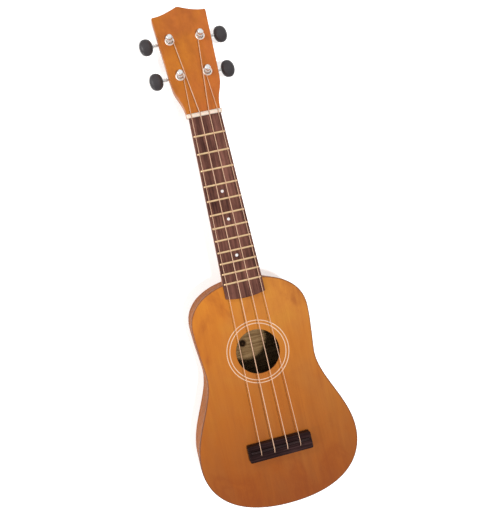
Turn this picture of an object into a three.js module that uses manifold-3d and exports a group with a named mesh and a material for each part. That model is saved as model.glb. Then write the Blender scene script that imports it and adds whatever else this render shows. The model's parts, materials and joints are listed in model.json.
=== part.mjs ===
// A soprano ukulele lying on its back, in millimetres.
// +Z points up out of the soundboard, +Y runs from the tail to the head and +X to the
// treble side. The origin is on the back's outer face, near its middle.

import * as THREE from 'three';
import { mergeVertices } from 'three/addons/utils/BufferGeometryUtils.js';
import Module from 'manifold-3d';

const wasm = await Module();
wasm.setup();

// ---------------------------------------------------------------- driving dimensions

const SCALE_LENGTH = 345;
const NUT_Y = 292.25;
const BODY_DEPTH = 60;
const PLATE_THICKNESS = 2.25;
const RIB_THICKNESS = 1.75;
const GAP = 0.3; // clearance of curved and turned glue faces

// Half of the body's outline: each row is the end of a curve, with the lengths of the
// handles that leave the last point and enter this one.
const BODY_TOP_Y = 121.6;
const UPPER_BOUT = { halfWidth: 61.75, y: 79.2, handleIn: 32.3, handleOut: 18.5 };
const WAIST = { halfWidth: 58, y: 29, handleIn: 8, handleOut: 26.6 };
const LOWER_BOUT = { halfWidth: 84, y: -58.2, handleIn: 32.2, handleOut: 33.4 };
const BODY_BOTTOM_Y = -117.5;
const TOP_HANDLE = 26;
const BOTTOM_HANDLE = 58.4;
const OUTLINE_STEPS = [12, 4, 9, 13];

const SOUND_HOLE = { y: 44.65, radius: 22.8 };
const ROSETTE = { outerRadius: 32.4, innerRadius: 29.3, width: 1, depth: 1 };
const CIRCLE_STEPS = 36;

const LINING = { width: 5, height: 6 };
const NECK_BLOCK = { halfWidth: 26, length: 28 };
const TAIL_BLOCK = { halfWidth: 22, length: 12 };
const BRACE = { width: 6, height: 8, tipHeight: 3, tipLength: 14 };
const TOP_BRACES_Y = { upper: 83.5, lower: 12.5 };
const BACK_BRACES_Y = { upper: 70, lower: -40 };
const BRIDGE_PLATE = { width: 84, length: 28, thickness: 2, y: -55.75 };

const BRIDGE = { width: 67.2, frontY: -47.3, length: 17.4, height: 8, edge: 1.4 };
const SADDLE = { y: -54, width: 61.6, thickness: 2.4, seat: 4, rise: 2.2 };
const STRING_HOLE = { radius: 0.85, mouth: 4.4, end: 3.4, pocketWidth: 3.8, pocketLength: 3, pocketDepth: [1.7, 5.3] };

const FRETBOARD = { halfWidthAtNut: 16.75, taper: 0.0212, thickness: 4, cornerY: 104.8, endY: 102.2 };
const FRET_COUNT = 12;
const FRET = { crownWidth: 2, crownHeight: 1, tangWidth: 0.4, tangDepth: 1.4, slotWidth: 0.8, inset: 0.8 };
const NUT = { halfWidth: 18.2, thickness: 4.4, height: 6.4, slotDepth: 1.35, slotWidth: 1.4 };

const NECK_DEPTH = { atNut: 14.5, atHeel: 16.5 };
const HEEL = { y: BODY_TOP_Y, depth: 60, capZ: 3, length: 44 };

const HEAD_TILT = THREE.MathUtils.degToRad(13.5);
const HEAD_THICKNESS = 11;
const HEAD = { neckHalfWidth: 17.8, flare: [24.4, 28], shoulder: [26.2, 46], corner: [29.4, 115], tip: 123.5 };

const STRINGS = {
  g: { diameter: 0.62, nutX: -13.9, saddleX: -20.8 },
  c: { diameter: 0.9, nutX: -4.6, saddleX: -6.9 },
  e: { diameter: 0.8, nutX: 4.6, saddleX: 6.9 },
  a: { diameter: 0.62, nutX: 13.9, saddleX: 20.8 },
};
const STRING_HEIGHT = { nut: 5.55, saddle: 10.5 }; // underside, above the soundboard

const TUNERS = {
  g: { side: -1, x: 14.4, s: 43.4 },
  c: { side: -1, x: 16.3, s: 84.8 },
  e: { side: 1, x: 16.3, s: 84.8 },
  a: { side: 1, x: 14.4, s: 43.4 },
};
const FERRULE = { flangeRadius: 5, flangeHeight: 1.3, bodyRadius: 4.2, bore: 3.4, depth: 8 };
const POST = { radius: 3, waistRadius: 2.5, top: 10, holeHeight: 6.8, holeRadius: 0.9, windHeight: 3.6 };
const TUNER_PLATE = { halfWidth: 6.6, below: 15, above: 18, thickness: 0.8, earThickness: 1, earDepth: 6.7 };
const GEAR = { teeth: 14, module: 0.65, thickness: 4.2, bore: 2.4, toothShare: 0.3 };
const WORM = { pitchRadius: 2.3, length: 9.6, threadShare: 0.3, steps: 12 };
const WORM_PHASE = Math.PI / 2; // puts the worm's ridge between two teeth
const SHAFT = { radius: 1.4, bore: 1.75, collarRadius: 2.3, collarLength: 4.2 };
const BUTTON = { centre: 24.3, length: 14.6, diameter: 19.6, thickness: 8.4, socketDepth: 6 };

// ---------------------------------------------------------------- derived dimensions

const TOP_Z = BODY_DEPTH;
const RIB_LOW_Z = PLATE_THICKNESS;
const RIB_HIGH_Z = BODY_DEPTH - PLATE_THICKNESS;
const BOARD_TOP_Z = TOP_Z + FRETBOARD.thickness;
const HEAD_Y = NUT_Y + NUT.thickness;
const PITCH = Math.PI * GEAR.module;
const GEAR_RADIUS = GEAR.teeth * GEAR.module / 2;
const WORM_OFFSET = GEAR_RADIUS + WORM.pitchRadius;
const LEAD_SLOPE = GEAR.module / 2 / WORM.pitchRadius;
const THREAD_OUT = 0.92 * GEAR.module;
const THREAD_IN = 1.02 * GEAR.module;
const PLATE_TOP = -(HEAD_THICKNESS + GAP);
const PLATE_UNDER = PLATE_TOP - TUNER_PLATE.thickness;
const SHAFT_Z = PLATE_UNDER - WORM.pitchRadius - THREAD_OUT - 0.4;
const SIDES = { bass: -1, treble: 1 };

const headMatrix = new THREE.Matrix4()
  .makeRotationX(-HEAD_TILT)
  .setPosition(0, HEAD_Y, TOP_Z);

// ---------------------------------------------------------------- materials

function material(color, roughness, metalness = 0) {
  return new THREE.MeshStandardMaterial({ color, roughness, metalness });
}

const MATERIALS = {
  top: material(0xb9672a, 0.35),
  rib: material(0x9a4f28, 0.4),
  inner: material(0xc9a069, 0.7),
  neck: material(0xbf6a26, 0.38),
  rosewood: material(0x3a2723, 0.55),
  purfling: material(0xe6cfa8, 0.5),
  fret: material(0xc9a45c, 0.28, 1),
  bone: material(0xefe3cb, 0.4),
  nylon: material(0xe8c9ab, 0.3),
  chrome: material(0xd4d6d8, 0.15, 1),
  steel: material(0xa9acb0, 0.35, 1),
  brass: material(0xb8924a, 0.3, 1),
  button: material(0x2b292b, 0.45),
};

// ---------------------------------------------------------------- small helpers

// A closed geometry as a solid that can be joined and cut.
function toSolid(geometry) {
  const bare = geometry.clone();
  bare.deleteAttribute('normal');
  bare.deleteAttribute('uv');
  const merged = mergeVertices(bare, 1e-4);
  return new wasm.Manifold(new wasm.Mesh({
    numProp: 3,
    vertProperties: new Float32Array(merged.attributes.position.array),
    triVerts: new Uint32Array(merged.index.array),
  }));
}

function toGeometry(solid) {
  const mesh = solid.getMesh();
  const geometry = new THREE.BufferGeometry();
  geometry.setAttribute('position', new THREE.BufferAttribute(new Float32Array(mesh.vertProperties), 3));
  geometry.setIndex(Array.from(mesh.triVerts));
  return geometry;
}

// The first geometry with all the others cut out of it.
function cut(geometry, cutters) {
  return toGeometry(cutters.reduce((solid, cutter) => solid.subtract(toSolid(cutter)), toSolid(geometry)));
}

function join(geometries) {
  return toGeometry(geometries.map(toSolid).reduce((whole, solid) => whole.add(solid)));
}

// A flat outline in X and Y, raised from z = low to z = high, with round holes.
function slab(points, low, high, holes = [], holeSteps = CIRCLE_STEPS) {
  const shape = new THREE.Shape(points);
  for (const { x = 0, y = 0, radius } of holes) {
    shape.holes.push(new THREE.Path(circlePoints(radius, holeSteps, x, y)));
  }
  return new THREE.ExtrudeGeometry(shape, { depth: high - low, bevelEnabled: false }).translate(0, 0, low);
}

function circlePoints(radius, steps, x = 0, y = 0) {
  return Array.from({ length: steps }, (_, step) => {
    const angle = 2 * Math.PI * step / steps;
    return new THREE.Vector2(x + radius * Math.cos(angle), y + radius * Math.sin(angle));
  });
}

function ring(outer, inner, low, high, y) {
  return slab(circlePoints(outer, CIRCLE_STEPS, 0, y), low, high, [{ y, radius: inner }]);
}

// An outline of [y, z] points, extruded along X about x = 0.
function alongX(points, length) {
  const shape = new THREE.Shape(points.map(([y, z]) => new THREE.Vector2(y, z)));
  const basis = new THREE.Matrix4().makeBasis(
    new THREE.Vector3(0, 1, 0), new THREE.Vector3(0, 0, 1), new THREE.Vector3(1, 0, 0));
  return new THREE.ExtrudeGeometry(shape, { depth: length, bevelEnabled: false })
    .applyMatrix4(basis)
    .translate(-length / 2, 0, 0);
}

function block(lowX, highX, lowY, highY, lowZ, highZ) {
  return new THREE.BoxGeometry(highX - lowX, highY - lowY, highZ - lowZ)
    .translate((lowX + highX) / 2, (lowY + highY) / 2, (lowZ + highZ) / 2);
}

// A profile of [radius, height] points turned about Z.
function turned(profile, steps) {
  return new THREE.LatheGeometry(profile.map(([r, z]) => new THREE.Vector2(r, z)), steps)
    .rotateX(Math.PI / 2);
}

function rod(radius, low, high, steps) {
  return turned([[0, low], [radius, low], [radius, high], [0, high]], steps);
}

// A skin over closed loops of points, each loop convex, with flat ends.
function loft(loops) {
  const count = loops[0].length;
  const positions = loops.flat().flatMap((point) => point.toArray());
  const index = [];
  for (let row = 0; row < loops.length - 1; row++) {
    for (let column = 0; column < count; column++) {
      const next = (column + 1) % count;
      const [a, b] = [row * count + column, row * count + next];
      index.push(a, b, b + count, a, b + count, a + count);
    }
  }
  const last = (loops.length - 1) * count;
  for (let column = 1; column < count - 1; column++) {
    index.push(0, column + 1, column, last, last + column, last + column + 1);
  }
  const geometry = new THREE.BufferGeometry();
  geometry.setAttribute('position', new THREE.Float32BufferAttribute(positions, 3));
  geometry.setIndex(index);
  return geometry;
}

// The same piece for the other hand: X is turned round and the faces kept outwards.
function mirrored(geometry) {
  const copy = geometry.clone().scale(-1, 1, 1);
  if (!copy.index) {
    copy.setIndex(Array.from({ length: copy.attributes.position.count }, (_, i) => i));
  }
  const index = copy.index.array;
  for (let i = 0; i < index.length; i += 3) {
    [index[i + 1], index[i + 2]] = [index[i + 2], index[i + 1]];
  }
  return copy;
}

// A route through given points, with one ring of the tube at each point.
class Route extends THREE.Curve {
  constructor(points) {
    super();
    this.points = points;
  }

  getPoint(t, target = new THREE.Vector3()) {
    const at = t * (this.points.length - 1);
    const from = Math.min(Math.floor(at), this.points.length - 2);
    return target.lerpVectors(this.points[from], this.points[from + 1], at - from);
  }

  getUtoTmapping(u) {
    return u;
  }
}

function tube(points, radius, sides) {
  return new THREE.ExtrudeGeometry(new THREE.Shape(circlePoints(radius, sides)), {
    steps: points.length - 1,
    extrudePath: new Route(points),
  });
}

// ---------------------------------------------------------------- the body's outline

const outlineCurves = (() => {
  const v = (x, y) => new THREE.Vector2(x, y);
  const bezier = (...points) => new THREE.CubicBezierCurve(...points);
  const stops = [UPPER_BOUT, WAIST, LOWER_BOUT];
  const curves = [bezier(
    v(0, BODY_TOP_Y),
    v(TOP_HANDLE, BODY_TOP_Y),
    v(UPPER_BOUT.halfWidth, UPPER_BOUT.y + UPPER_BOUT.handleIn),
    v(UPPER_BOUT.halfWidth, UPPER_BOUT.y),
  )];
  for (let i = 0; i < 2; i++) {
    const [from, to] = [stops[i], stops[i + 1]];
    curves.push(bezier(
      v(from.halfWidth, from.y),
      v(from.halfWidth, from.y - from.handleOut),
      v(to.halfWidth, to.y + to.handleIn),
      v(to.halfWidth, to.y),
    ));
  }
  curves.push(bezier(
    v(LOWER_BOUT.halfWidth, LOWER_BOUT.y),
    v(LOWER_BOUT.halfWidth, LOWER_BOUT.y - LOWER_BOUT.handleOut),
    v(BOTTOM_HANDLE, BODY_BOTTOM_Y),
    v(0, BODY_BOTTOM_Y),
  ));
  return curves;
})();

// The treble half of the outline, from the top's middle to the bottom's, moved inwards.
function halfOutline(inset = 0) {
  const points = [];
  outlineCurves.forEach((curve, part) => {
    const steps = OUTLINE_STEPS[part];
    for (let step = part ? 1 : 0; step <= steps; step++) {
      const point = curve.getPoint(step / steps);
      const tangent = curve.getTangent(step / steps);
      points.push(new THREE.Vector2(point.x + inset * tangent.y, point.y - inset * tangent.x));
    }
  });
  points[0].x = 0;
  points[points.length - 1].x = 0;
  return points;
}

function mirrorPoints(points, side) {
  return points.map(({ x, y }) => new THREE.Vector2(side * x, y));
}

function fullOutline(inset = 0) {
  const half = halfOutline(inset);
  return [...half, ...mirrorPoints(half, -1).reverse().slice(1, -1)];
}

function halfWidthAt(y, inset) {
  const half = halfOutline(inset);
  const from = half.findIndex((point, i) => i > 0 && half[i - 1].y >= y && point.y < y);
  const [a, b] = [half[from - 1], half[from]];
  return THREE.MathUtils.lerp(a.x, b.x, (a.y - y) / (a.y - b.y));
}

const INNER_INSET = RIB_THICKNESS + GAP;

// ---------------------------------------------------------------- body

function soundboard() {
  const board = slab(fullOutline(), RIB_HIGH_Z, TOP_Z, [SOUND_HOLE]);
  const grooves = [ROSETTE.outerRadius, ROSETTE.innerRadius].map((radius) => ring(
    radius + ROSETTE.width / 2 + GAP,
    radius - ROSETTE.width / 2 - GAP,
    TOP_Z - ROSETTE.depth,
    TOP_Z + 1,
    SOUND_HOLE.y,
  ));
  return cut(board, grooves);
}

function rosette(radius) {
  const half = ROSETTE.width / 2;
  return ring(radius + half, radius - half, TOP_Z - ROSETTE.depth, TOP_Z, SOUND_HOLE.y);
}

function rib(side) {
  const outer = mirrorPoints(halfOutline(), side);
  const inner = mirrorPoints(halfOutline(RIB_THICKNESS), side);
  return slab([...outer, ...inner.reverse()], RIB_LOW_Z, RIB_HIGH_Z);
}

// One strip from the neck block round the tail and back to the neck block.
function lining(low) {
  const strip = (inset) => {
    const half = halfOutline(inset).filter(({ x, y }) => y < 0 || x > NECK_BLOCK.halfWidth + GAP);
    return [...half, ...mirrorPoints(half, -1).reverse().slice(1)];
  };
  const outer = strip(INNER_INSET);
  const inner = strip(INNER_INSET + LINING.width);
  return slab([...outer, ...inner.reverse()], low, low + LINING.height);
}

// A block that fills the end of the body between the ribs, cut off square.
function endBlock(atTop, halfWidth, length, low, high) {
  const all = atTop ? halfOutline(INNER_INSET) : halfOutline(INNER_INSET).reverse();
  const beyond = all.findIndex(({ x }) => x > halfWidth);
  const [a, b] = [all[beyond - 1], all[beyond]];
  const edgeY = THREE.MathUtils.lerp(a.y, b.y, (halfWidth - a.x) / (b.x - a.x));
  const innerY = all[0].y + (atTop ? -length : length);
  const half = [
    ...all.slice(0, beyond), new THREE.Vector2(halfWidth, edgeY), new THREE.Vector2(halfWidth, innerY)];
  return slab([...half, ...mirrorPoints(half, -1).reverse().slice(0, -1)], low, high);
}

// A brace across the body that thins out towards its ends; up is +1 on the back.
function brace(y, faceZ, up) {
  const edges = [y - BRACE.width / 2, y + BRACE.width / 2];
  const reach = Math.min(...edges.map((edge) => halfWidthAt(edge, INNER_INSET + LINING.width))) - GAP;
  const shape = new THREE.Shape([
    [-reach, 0], [reach, 0], [reach, BRACE.tipHeight], [reach - BRACE.tipLength, BRACE.height],
    [BRACE.tipLength - reach, BRACE.height], [-reach, BRACE.tipHeight],
  ].map(([x, z]) => new THREE.Vector2(x, faceZ + up * z)));
  return new THREE.ExtrudeGeometry(shape, { depth: BRACE.width, bevelEnabled: false })
    .rotateX(Math.PI / 2)
    .translate(0, y + BRACE.width / 2, 0);
}

// ---------------------------------------------------------------- bridge and saddle

const BRIDGE_BACK_Y = BRIDGE.frontY - BRIDGE.length;
const BRIDGE_TOP_Z = TOP_Z + BRIDGE.height;

function bridge() {
  const { frontY, edge } = BRIDGE;
  const whole = alongX([
    [BRIDGE_BACK_Y, TOP_Z], [frontY, TOP_Z], [frontY, BRIDGE_TOP_Z - edge],
    [frontY - edge, BRIDGE_TOP_Z], [BRIDGE_BACK_Y + edge, BRIDGE_TOP_Z],
    [BRIDGE_BACK_Y, BRIDGE_TOP_Z - edge],
  ], BRIDGE.width);
  const halfSeat = SADDLE.thickness / 2;
  const seat = block(
    -SADDLE.width / 2 - GAP, SADDLE.width / 2 + GAP,
    SADDLE.y - halfSeat - GAP, SADDLE.y + halfSeat + GAP,
    BRIDGE_TOP_Z - SADDLE.seat, BRIDGE_TOP_Z + 1,
  );
  const { radius, pocketWidth, pocketLength, pocketDepth } = STRING_HOLE;
  const holes = Object.values(STRINGS).flatMap(({ saddleX }) => {
    const [mouth, end] = stringHole(saddleX);
    const past = mouth.clone().sub(end).setLength(2);
    return [
      tube([end.clone().sub(past), mouth.clone().add(past)], radius, 10),
      block(
        saddleX - pocketWidth / 2, saddleX + pocketWidth / 2,
        BRIDGE_BACK_Y - 1, BRIDGE_BACK_Y + pocketLength,
        BRIDGE_TOP_Z - pocketDepth[1], BRIDGE_TOP_Z - pocketDepth[0],
      ),
    ];
  });
  return cut(whole, [seat, ...holes]);
}

// Where a string dives into the bridge, and where its hole opens into the knot's pocket.
function stringHole(saddleX) {
  return [
    new THREE.Vector3(saddleX, SADDLE.y - STRING_HOLE.mouth, BRIDGE_TOP_Z),
    new THREE.Vector3(saddleX, BRIDGE_BACK_Y + STRING_HOLE.pocketLength, BRIDGE_TOP_Z - STRING_HOLE.end),
  ];
}

function saddle() {
  const low = BRIDGE_TOP_Z - SADDLE.seat;
  const high = BRIDGE_TOP_Z + SADDLE.rise;
  const half = SADDLE.thickness / 2;
  return alongX([
    [SADDLE.y - half, low], [SADDLE.y + half, low], [SADDLE.y + half, high - 1],
    [SADDLE.y + half / 2, high - 0.2], [SADDLE.y, high], [SADDLE.y - half / 2, high - 0.2],
    [SADDLE.y - half, high - 1],
  ], SADDLE.width);
}

// ---------------------------------------------------------------- neck and fretboard

function boardHalfWidth(y) {
  return FRETBOARD.halfWidthAtNut + FRETBOARD.taper * (NUT_Y - y);
}

function fretY(number) {
  return NUT_Y - SCALE_LENGTH * (1 - 2 ** (-number / 12));
}

function fretNumbers() {
  return Array.from({ length: FRET_COUNT }, (_, i) => i + 1);
}

function fretboard() {
  const cornerX = boardHalfWidth(FRETBOARD.cornerY);
  const end = Array.from({ length: 11 }, (_, i) => {
    const x = cornerX * (1 - i / 5);
    const bulge = 1 - (x / cornerX) ** 2;
    return new THREE.Vector2(x, FRETBOARD.cornerY + (FRETBOARD.endY - FRETBOARD.cornerY) * bulge);
  });
  const nutX = FRETBOARD.halfWidthAtNut;
  const board = slab(
    [new THREE.Vector2(-nutX, NUT_Y), new THREE.Vector2(nutX, NUT_Y), ...end], TOP_Z, BOARD_TOP_Z);
  const slots = fretNumbers().map((number) => block(
    -30, 30,
    fretY(number) - FRET.slotWidth / 2, fretY(number) + FRET.slotWidth / 2,
    BOARD_TOP_Z - FRET.tangDepth - GAP, BOARD_TOP_Z + 1,
  ));
  return cut(board, slots);
}

function fret(number) {
  const y = fretY(number);
  const [crown, tang] = [FRET.crownWidth / 2, FRET.tangWidth / 2];
  const top = BOARD_TOP_Z + FRET.crownHeight;
  return alongX([
    [y - tang, BOARD_TOP_Z - FRET.tangDepth], [y + tang, BOARD_TOP_Z - FRET.tangDepth],
    [y + tang, BOARD_TOP_Z], [y + crown, BOARD_TOP_Z], [y + 0.75 * crown, top - 0.35],
    [y, top], [y - 0.75 * crown, top - 0.35], [y - crown, BOARD_TOP_Z], [y - tang, BOARD_TOP_Z],
  ], 2 * (boardHalfWidth(y) - FRET.inset));
}

function nut() {
  const [back, top] = [NUT_Y + NUT.thickness, TOP_Z + NUT.height];
  const whole = alongX([
    [NUT_Y, TOP_Z], [back, TOP_Z], [back, top - 2.2], [back - 1, top - 0.9],
    [NUT_Y + 1.2, top], [NUT_Y, top - 0.3],
  ], 2 * NUT.halfWidth);
  const slots = Object.values(STRINGS).map(({ nutX }) => block(
    nutX - NUT.slotWidth / 2, nutX + NUT.slotWidth / 2, NUT_Y - 1, back + 1, top - NUT.slotDepth, top + 1));
  return cut(whole, slots);
}

// A D-shaped section below z = 0, from the treble edge round to the bass edge.
function dSection(halfWidth, depth, fullness, matrix) {
  const steps = 14;
  return Array.from({ length: steps + 1 }, (_, step) => {
    const angle = Math.PI * step / steps;
    const [c, s] = [Math.cos(angle), Math.sin(angle)];
    const x = halfWidth * Math.sign(c) * Math.abs(c) ** (2 / fullness);
    const z = -depth * s ** (2 / fullness);
    return new THREE.Vector3(x, 0, z).applyMatrix4(matrix);
  });
}

function neckLoops() {
  const across = (y) => new THREE.Matrix4().makeTranslation(0, y, TOP_Z);
  const heel = [[0, 1], [0.14, 0.9], [0.3, 0.62], [0.48, 0.28], [0.68, 0.08], [1, 0]];
  const loops = heel.map(([along, drop]) => {
    const y = HEEL.y - 6 + along * (HEEL.length + 6);
    const depth = THREE.MathUtils.lerp(NECK_DEPTH.atHeel, HEEL.depth, drop);
    return dSection(boardHalfWidth(y), depth, 2.2 - 0.3 * drop, across(y));
  });
  for (const y of [236, NUT_Y]) {
    const along = (y - HEEL.y - HEEL.length) / (NUT_Y - HEEL.y - HEEL.length);
    const depth = THREE.MathUtils.lerp(NECK_DEPTH.atHeel, NECK_DEPTH.atNut, along);
    loops.push(dSection(boardHalfWidth(y), depth, 2.2, across(y)));
  }
  loops.push(dSection(HEAD.neckHalfWidth, NECK_DEPTH.atNut, 2.3, across(HEAD_Y)));
  for (const [s, depth] of [[10, 13.4], [20, HEAD_THICKNESS - 0.4]]) {
    const onHead = headMatrix.clone().multiply(new THREE.Matrix4().makeTranslation(0, s, -0.3));
    loops.push(dSection(HEAD.neckHalfWidth - 0.3, depth, 2.6, onHead));
  }
  return loops;
}

function headHalfOutline() {
  const v = (x, y) => new THREE.Vector2(x, y);
  const { neckHalfWidth, flare, shoulder, corner, tip } = HEAD;
  const curves = [
    new THREE.CubicBezierCurve(
      v(neckHalfWidth, 0), v(neckHalfWidth + 0.2, 14), v(flare[0] - 2.4, flare[1] - 8), v(...flare)),
    new THREE.CubicBezierCurve(
      v(...flare), v(flare[0] + 1, flare[1] + 4), v(shoulder[0] - 0.3, shoulder[1] - 7), v(...shoulder)),
  ];
  const crown = new THREE.CubicBezierCurve(
    v(corner[0] - 1.2, corner[1] + 0.8), v(19, corner[1] + 0.6), v(9, tip - 3.6), v(1.4, tip));
  return [
    ...curves[0].getPoints(8),
    ...curves[1].getPoints(4).slice(1),
    v(corner[0], corner[1] - 1.2),
    v(corner[0] - 0.35, corner[1] + 0.3),
    ...crown.getPoints(7),
  ];
}

function neck() {
  const half = headHalfOutline();
  const plate = slab([...half, ...mirrorPoints(half, -1).reverse()], -HEAD_THICKNESS, 0)
    .applyMatrix4(headMatrix);
  const holes = Object.values(TUNERS).map(({ side, x, s }) => rod(
    FERRULE.bodyRadius + GAP, -2 * HEAD_THICKNESS, HEAD_THICKNESS, 16)
    .translate(side * x, s, 0)
    .applyMatrix4(headMatrix));
  const body = slab(fullOutline(-GAP), -10, 2 * BODY_DEPTH);
  const belowCap = block(-40, 40, 100, 200, -20, HEEL.capZ);
  return cut(join([loft(neckLoops()), plate]), [...holes, body, belowCap]);
}

// ---------------------------------------------------------------- strings

// From the knot in its pocket over the saddle and the nut to the inner side of its post.
function stringRoute(name) {
  const { diameter, nutX, saddleX } = STRINGS[name];
  const { side, x, s } = TUNERS[name];
  const radius = diameter / 2;
  const atPost = side * (x - POST.radius - radius - GAP);
  const saddleZ = TOP_Z + STRING_HEIGHT.saddle + radius;
  const nutZ = TOP_Z + STRING_HEIGHT.nut + radius;
  const v = (px, py, pz) => new THREE.Vector3(px, py, pz);
  const [mouth, end] = stringHole(saddleX);
  return [
    v(saddleX, end.y - STRING_HOLE.pocketLength / 2, end.z - 0.5),
    end,
    mouth,
    v(saddleX, SADDLE.y - 1, saddleZ - 0.25),
    v(saddleX, SADDLE.y, saddleZ),
    v(saddleX, SADDLE.y + 1, saddleZ + 0.05),
    v(nutX, NUT_Y + 0.6, nutZ),
    v(nutX, NUT_Y + 1.6, nutZ),
    v(nutX, HEAD_Y + 0.3, nutZ - 0.35),
    v(atPost, s, POST.windHeight + radius).applyMatrix4(headMatrix),
  ];
}

function string(name) {
  const route = stringRoute(name);
  const radius = STRINGS[name].diameter / 2;
  const knot = new THREE.SphereGeometry(1.2, 10, 6).translate(...route[0].toArray());
  return join([tube(route, radius, 8), knot]);
}

// ---------------------------------------------------------------- tuning machines
// Each piece is drawn for the treble side, about its post's axis, with the head's face
// at z = 0. The bass side takes the mirrored piece.

function ferrule() {
  const { flangeRadius, flangeHeight, bodyRadius, bore, depth } = FERRULE;
  const low = 0.05;
  return turned([
    [bore, -depth], [bodyRadius, -depth], [bodyRadius, low], [flangeRadius, low],
    [flangeRadius - 0.15, 0.6 * flangeHeight], [flangeRadius - 0.9, flangeHeight],
    [bore + 0.3, flangeHeight], [bore, flangeHeight - 0.2], [bore, -depth],
  ], 16);
}

function post() {
  const { radius, waistRadius, top, holeHeight, holeRadius } = POST;
  const foot = SHAFT_Z - GEAR.thickness / 2 - 0.8;
  const shoulder = SHAFT_Z + GEAR.thickness / 2 + GAP;
  const body = turned([
    [0, foot], [GEAR.bore - GAP, foot], [GEAR.bore - GAP, shoulder], [radius, shoulder],
    [radius, 2], [waistRadius, 3.2], [waistRadius, 5.2], [radius, 6.2], [radius, top - 0.8],
    [radius - 0.8, top], [0, top],
  ], 16);
  const hole = rod(holeRadius, -6, 6, 8).rotateY(Math.PI / 2).translate(0, 0, holeHeight + 0.6);
  return cut(body, [hole]);
}

function gear() {
  const outer = GEAR_RADIUS + THREAD_OUT;
  const root = GEAR_RADIUS - THREAD_IN;
  const pitchAngle = 2 * Math.PI / GEAR.teeth;
  const at = (radius, angle) => new THREE.Vector2(-radius * Math.sin(angle), radius * Math.cos(angle));
  const points = [];
  for (let tooth = 0; tooth < GEAR.teeth; tooth++) {
    const middle = tooth * pitchAngle;
    const half = GEAR.toothShare * pitchAngle / 2;
    points.push(
      at(root, middle - 1.45 * half), at(outer, middle - 0.55 * half),
      at(outer, middle + 0.55 * half), at(root, middle + 1.45 * half));
  }
  const flat = slab(points, -GEAR.thickness / 2, GEAR.thickness / 2);
  const bored = cut(flat, [rod(GEAR.bore, -GEAR.thickness, GEAR.thickness, 16)]);
  const position = bored.attributes.position;
  for (let i = 0; i < position.count; i++) {
    const twist = LEAD_SLOPE * position.getZ(i) / GEAR_RADIUS;
    const [x, y] = [position.getX(i), position.getY(i)];
    position.setXY(i, x * Math.cos(twist) - y * Math.sin(twist), x * Math.sin(twist) + y * Math.cos(twist));
  }
  return bored;
}

// The ridge of a right-hand thread about Z, swept along its helix.
function thread() {
  const { pitchRadius, length, threadShare, steps } = WORM;
  const half = threadShare * PITCH / 2;
  const inner = pitchRadius - THREAD_IN - 0.2;
  const outer = pitchRadius + THREAD_OUT;
  const ridge = [[inner, -1.55 * half], [inner, 1.55 * half], [outer, 0.55 * half], [outer, -0.55 * half]];
  const turns = Math.floor(length / PITCH) - 0.5;
  const loops = Array.from({ length: Math.round(turns * steps) + 1 }, (_, step) => {
    const turn = step / steps - turns / 2;
    const angle = 2 * Math.PI * turn + WORM_PHASE;
    return ridge.map(([radius, along]) => new THREE.Vector3(
      radius * Math.cos(angle), radius * Math.sin(angle), turn * PITCH + along));
  });
  return loft(loops);
}

// The worm, its shaft and the collar outside the head, about Z, with the button's end up.
function wormShaft() {
  const { radius, collarRadius, collarLength } = SHAFT;
  const half = WORM.length / 2;
  const root = WORM.pitchRadius - THREAD_IN;
  const ear = half + GAP + TUNER_PLATE.earThickness;
  const socket = BUTTON.centre - BUTTON.length / 2;
  const core = turned([
    [0, -ear - 0.8], [radius, -ear - 0.8], [radius, -half], [root, -half], [root, half],
    [radius, half], [radius, socket - GAP - collarLength], [collarRadius, socket - GAP - collarLength],
    [collarRadius, socket - GAP], [radius, socket - GAP],
    [radius, socket + BUTTON.socketDepth - GAP], [0, socket + BUTTON.socketDepth - GAP],
  ], 12);
  return join([core, thread()]);
}

// An oval button about Z, flattened along X and longest along Y.
function button() {
  const half = BUTTON.length / 2;
  const oval = new THREE.SphereGeometry(1, 16, 9)
    .rotateX(Math.PI / 2)
    .scale(BUTTON.thickness / 2, BUTTON.diameter / 2, half)
    .translate(0, 0, BUTTON.centre);
  const socketEnd = BUTTON.centre - half + BUTTON.socketDepth;
  const socket = rod(SHAFT.bore, BUTTON.centre - half - 1, socketEnd, 12);
  const squareEnd = block(-9, 9, -12, 12, 0, BUTTON.centre - half + 0.35);
  return cut(oval, [socket, squareEnd]);
}

function tunerPlate() {
  const { halfWidth, below, above, thickness, earThickness, earDepth } = TUNER_PLATE;
  const v = (x, y) => new THREE.Vector2(x, y);
  const chamfer = 2.5;
  const outline = [
    v(-halfWidth, chamfer - below), v(chamfer - halfWidth, -below),
    v(halfWidth - chamfer, -below), v(halfWidth, chamfer - below),
    v(halfWidth, above - chamfer), v(halfWidth - chamfer, above),
    v(chamfer - halfWidth, above), v(-halfWidth, above - chamfer),
  ];
  const screwHoles = [3 - below, above - 3].map((y) => ({ y, radius: 1.2 }));
  const sheet = slab(outline, PLATE_UNDER, PLATE_TOP, [{ radius: FERRULE.bore }, ...screwHoles], 12);
  const earX = WORM.length / 2 + GAP;
  const ears = [-1, 1].map((end) => {
    const [low, high] = [earX, earX + earThickness].map((x) => end * x).sort((a, b) => a - b);
    return block(low, high, WORM_OFFSET - 3.2, WORM_OFFSET + 3.2, PLATE_TOP - earDepth, PLATE_TOP);
  });
  const bore = rod(SHAFT.bore, -10, 10, 12).rotateY(Math.PI / 2).translate(0, WORM_OFFSET, SHAFT_Z);
  return cut(join([sheet, ...ears]), [bore]);
}

const TUNER_PIECES = {
  plate: { make: tunerPlate, finish: MATERIALS.steel },
  worm_shaft: { make: wormShaft, finish: MATERIALS.chrome, onShaft: true },
  button: { make: button, finish: MATERIALS.button, onShaft: true },
  gear: { make: gear, finish: MATERIALS.brass, z: SHAFT_Z },
  post: { make: post, finish: MATERIALS.chrome },
  ferrule: { make: ferrule, finish: MATERIALS.chrome },
};

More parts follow.
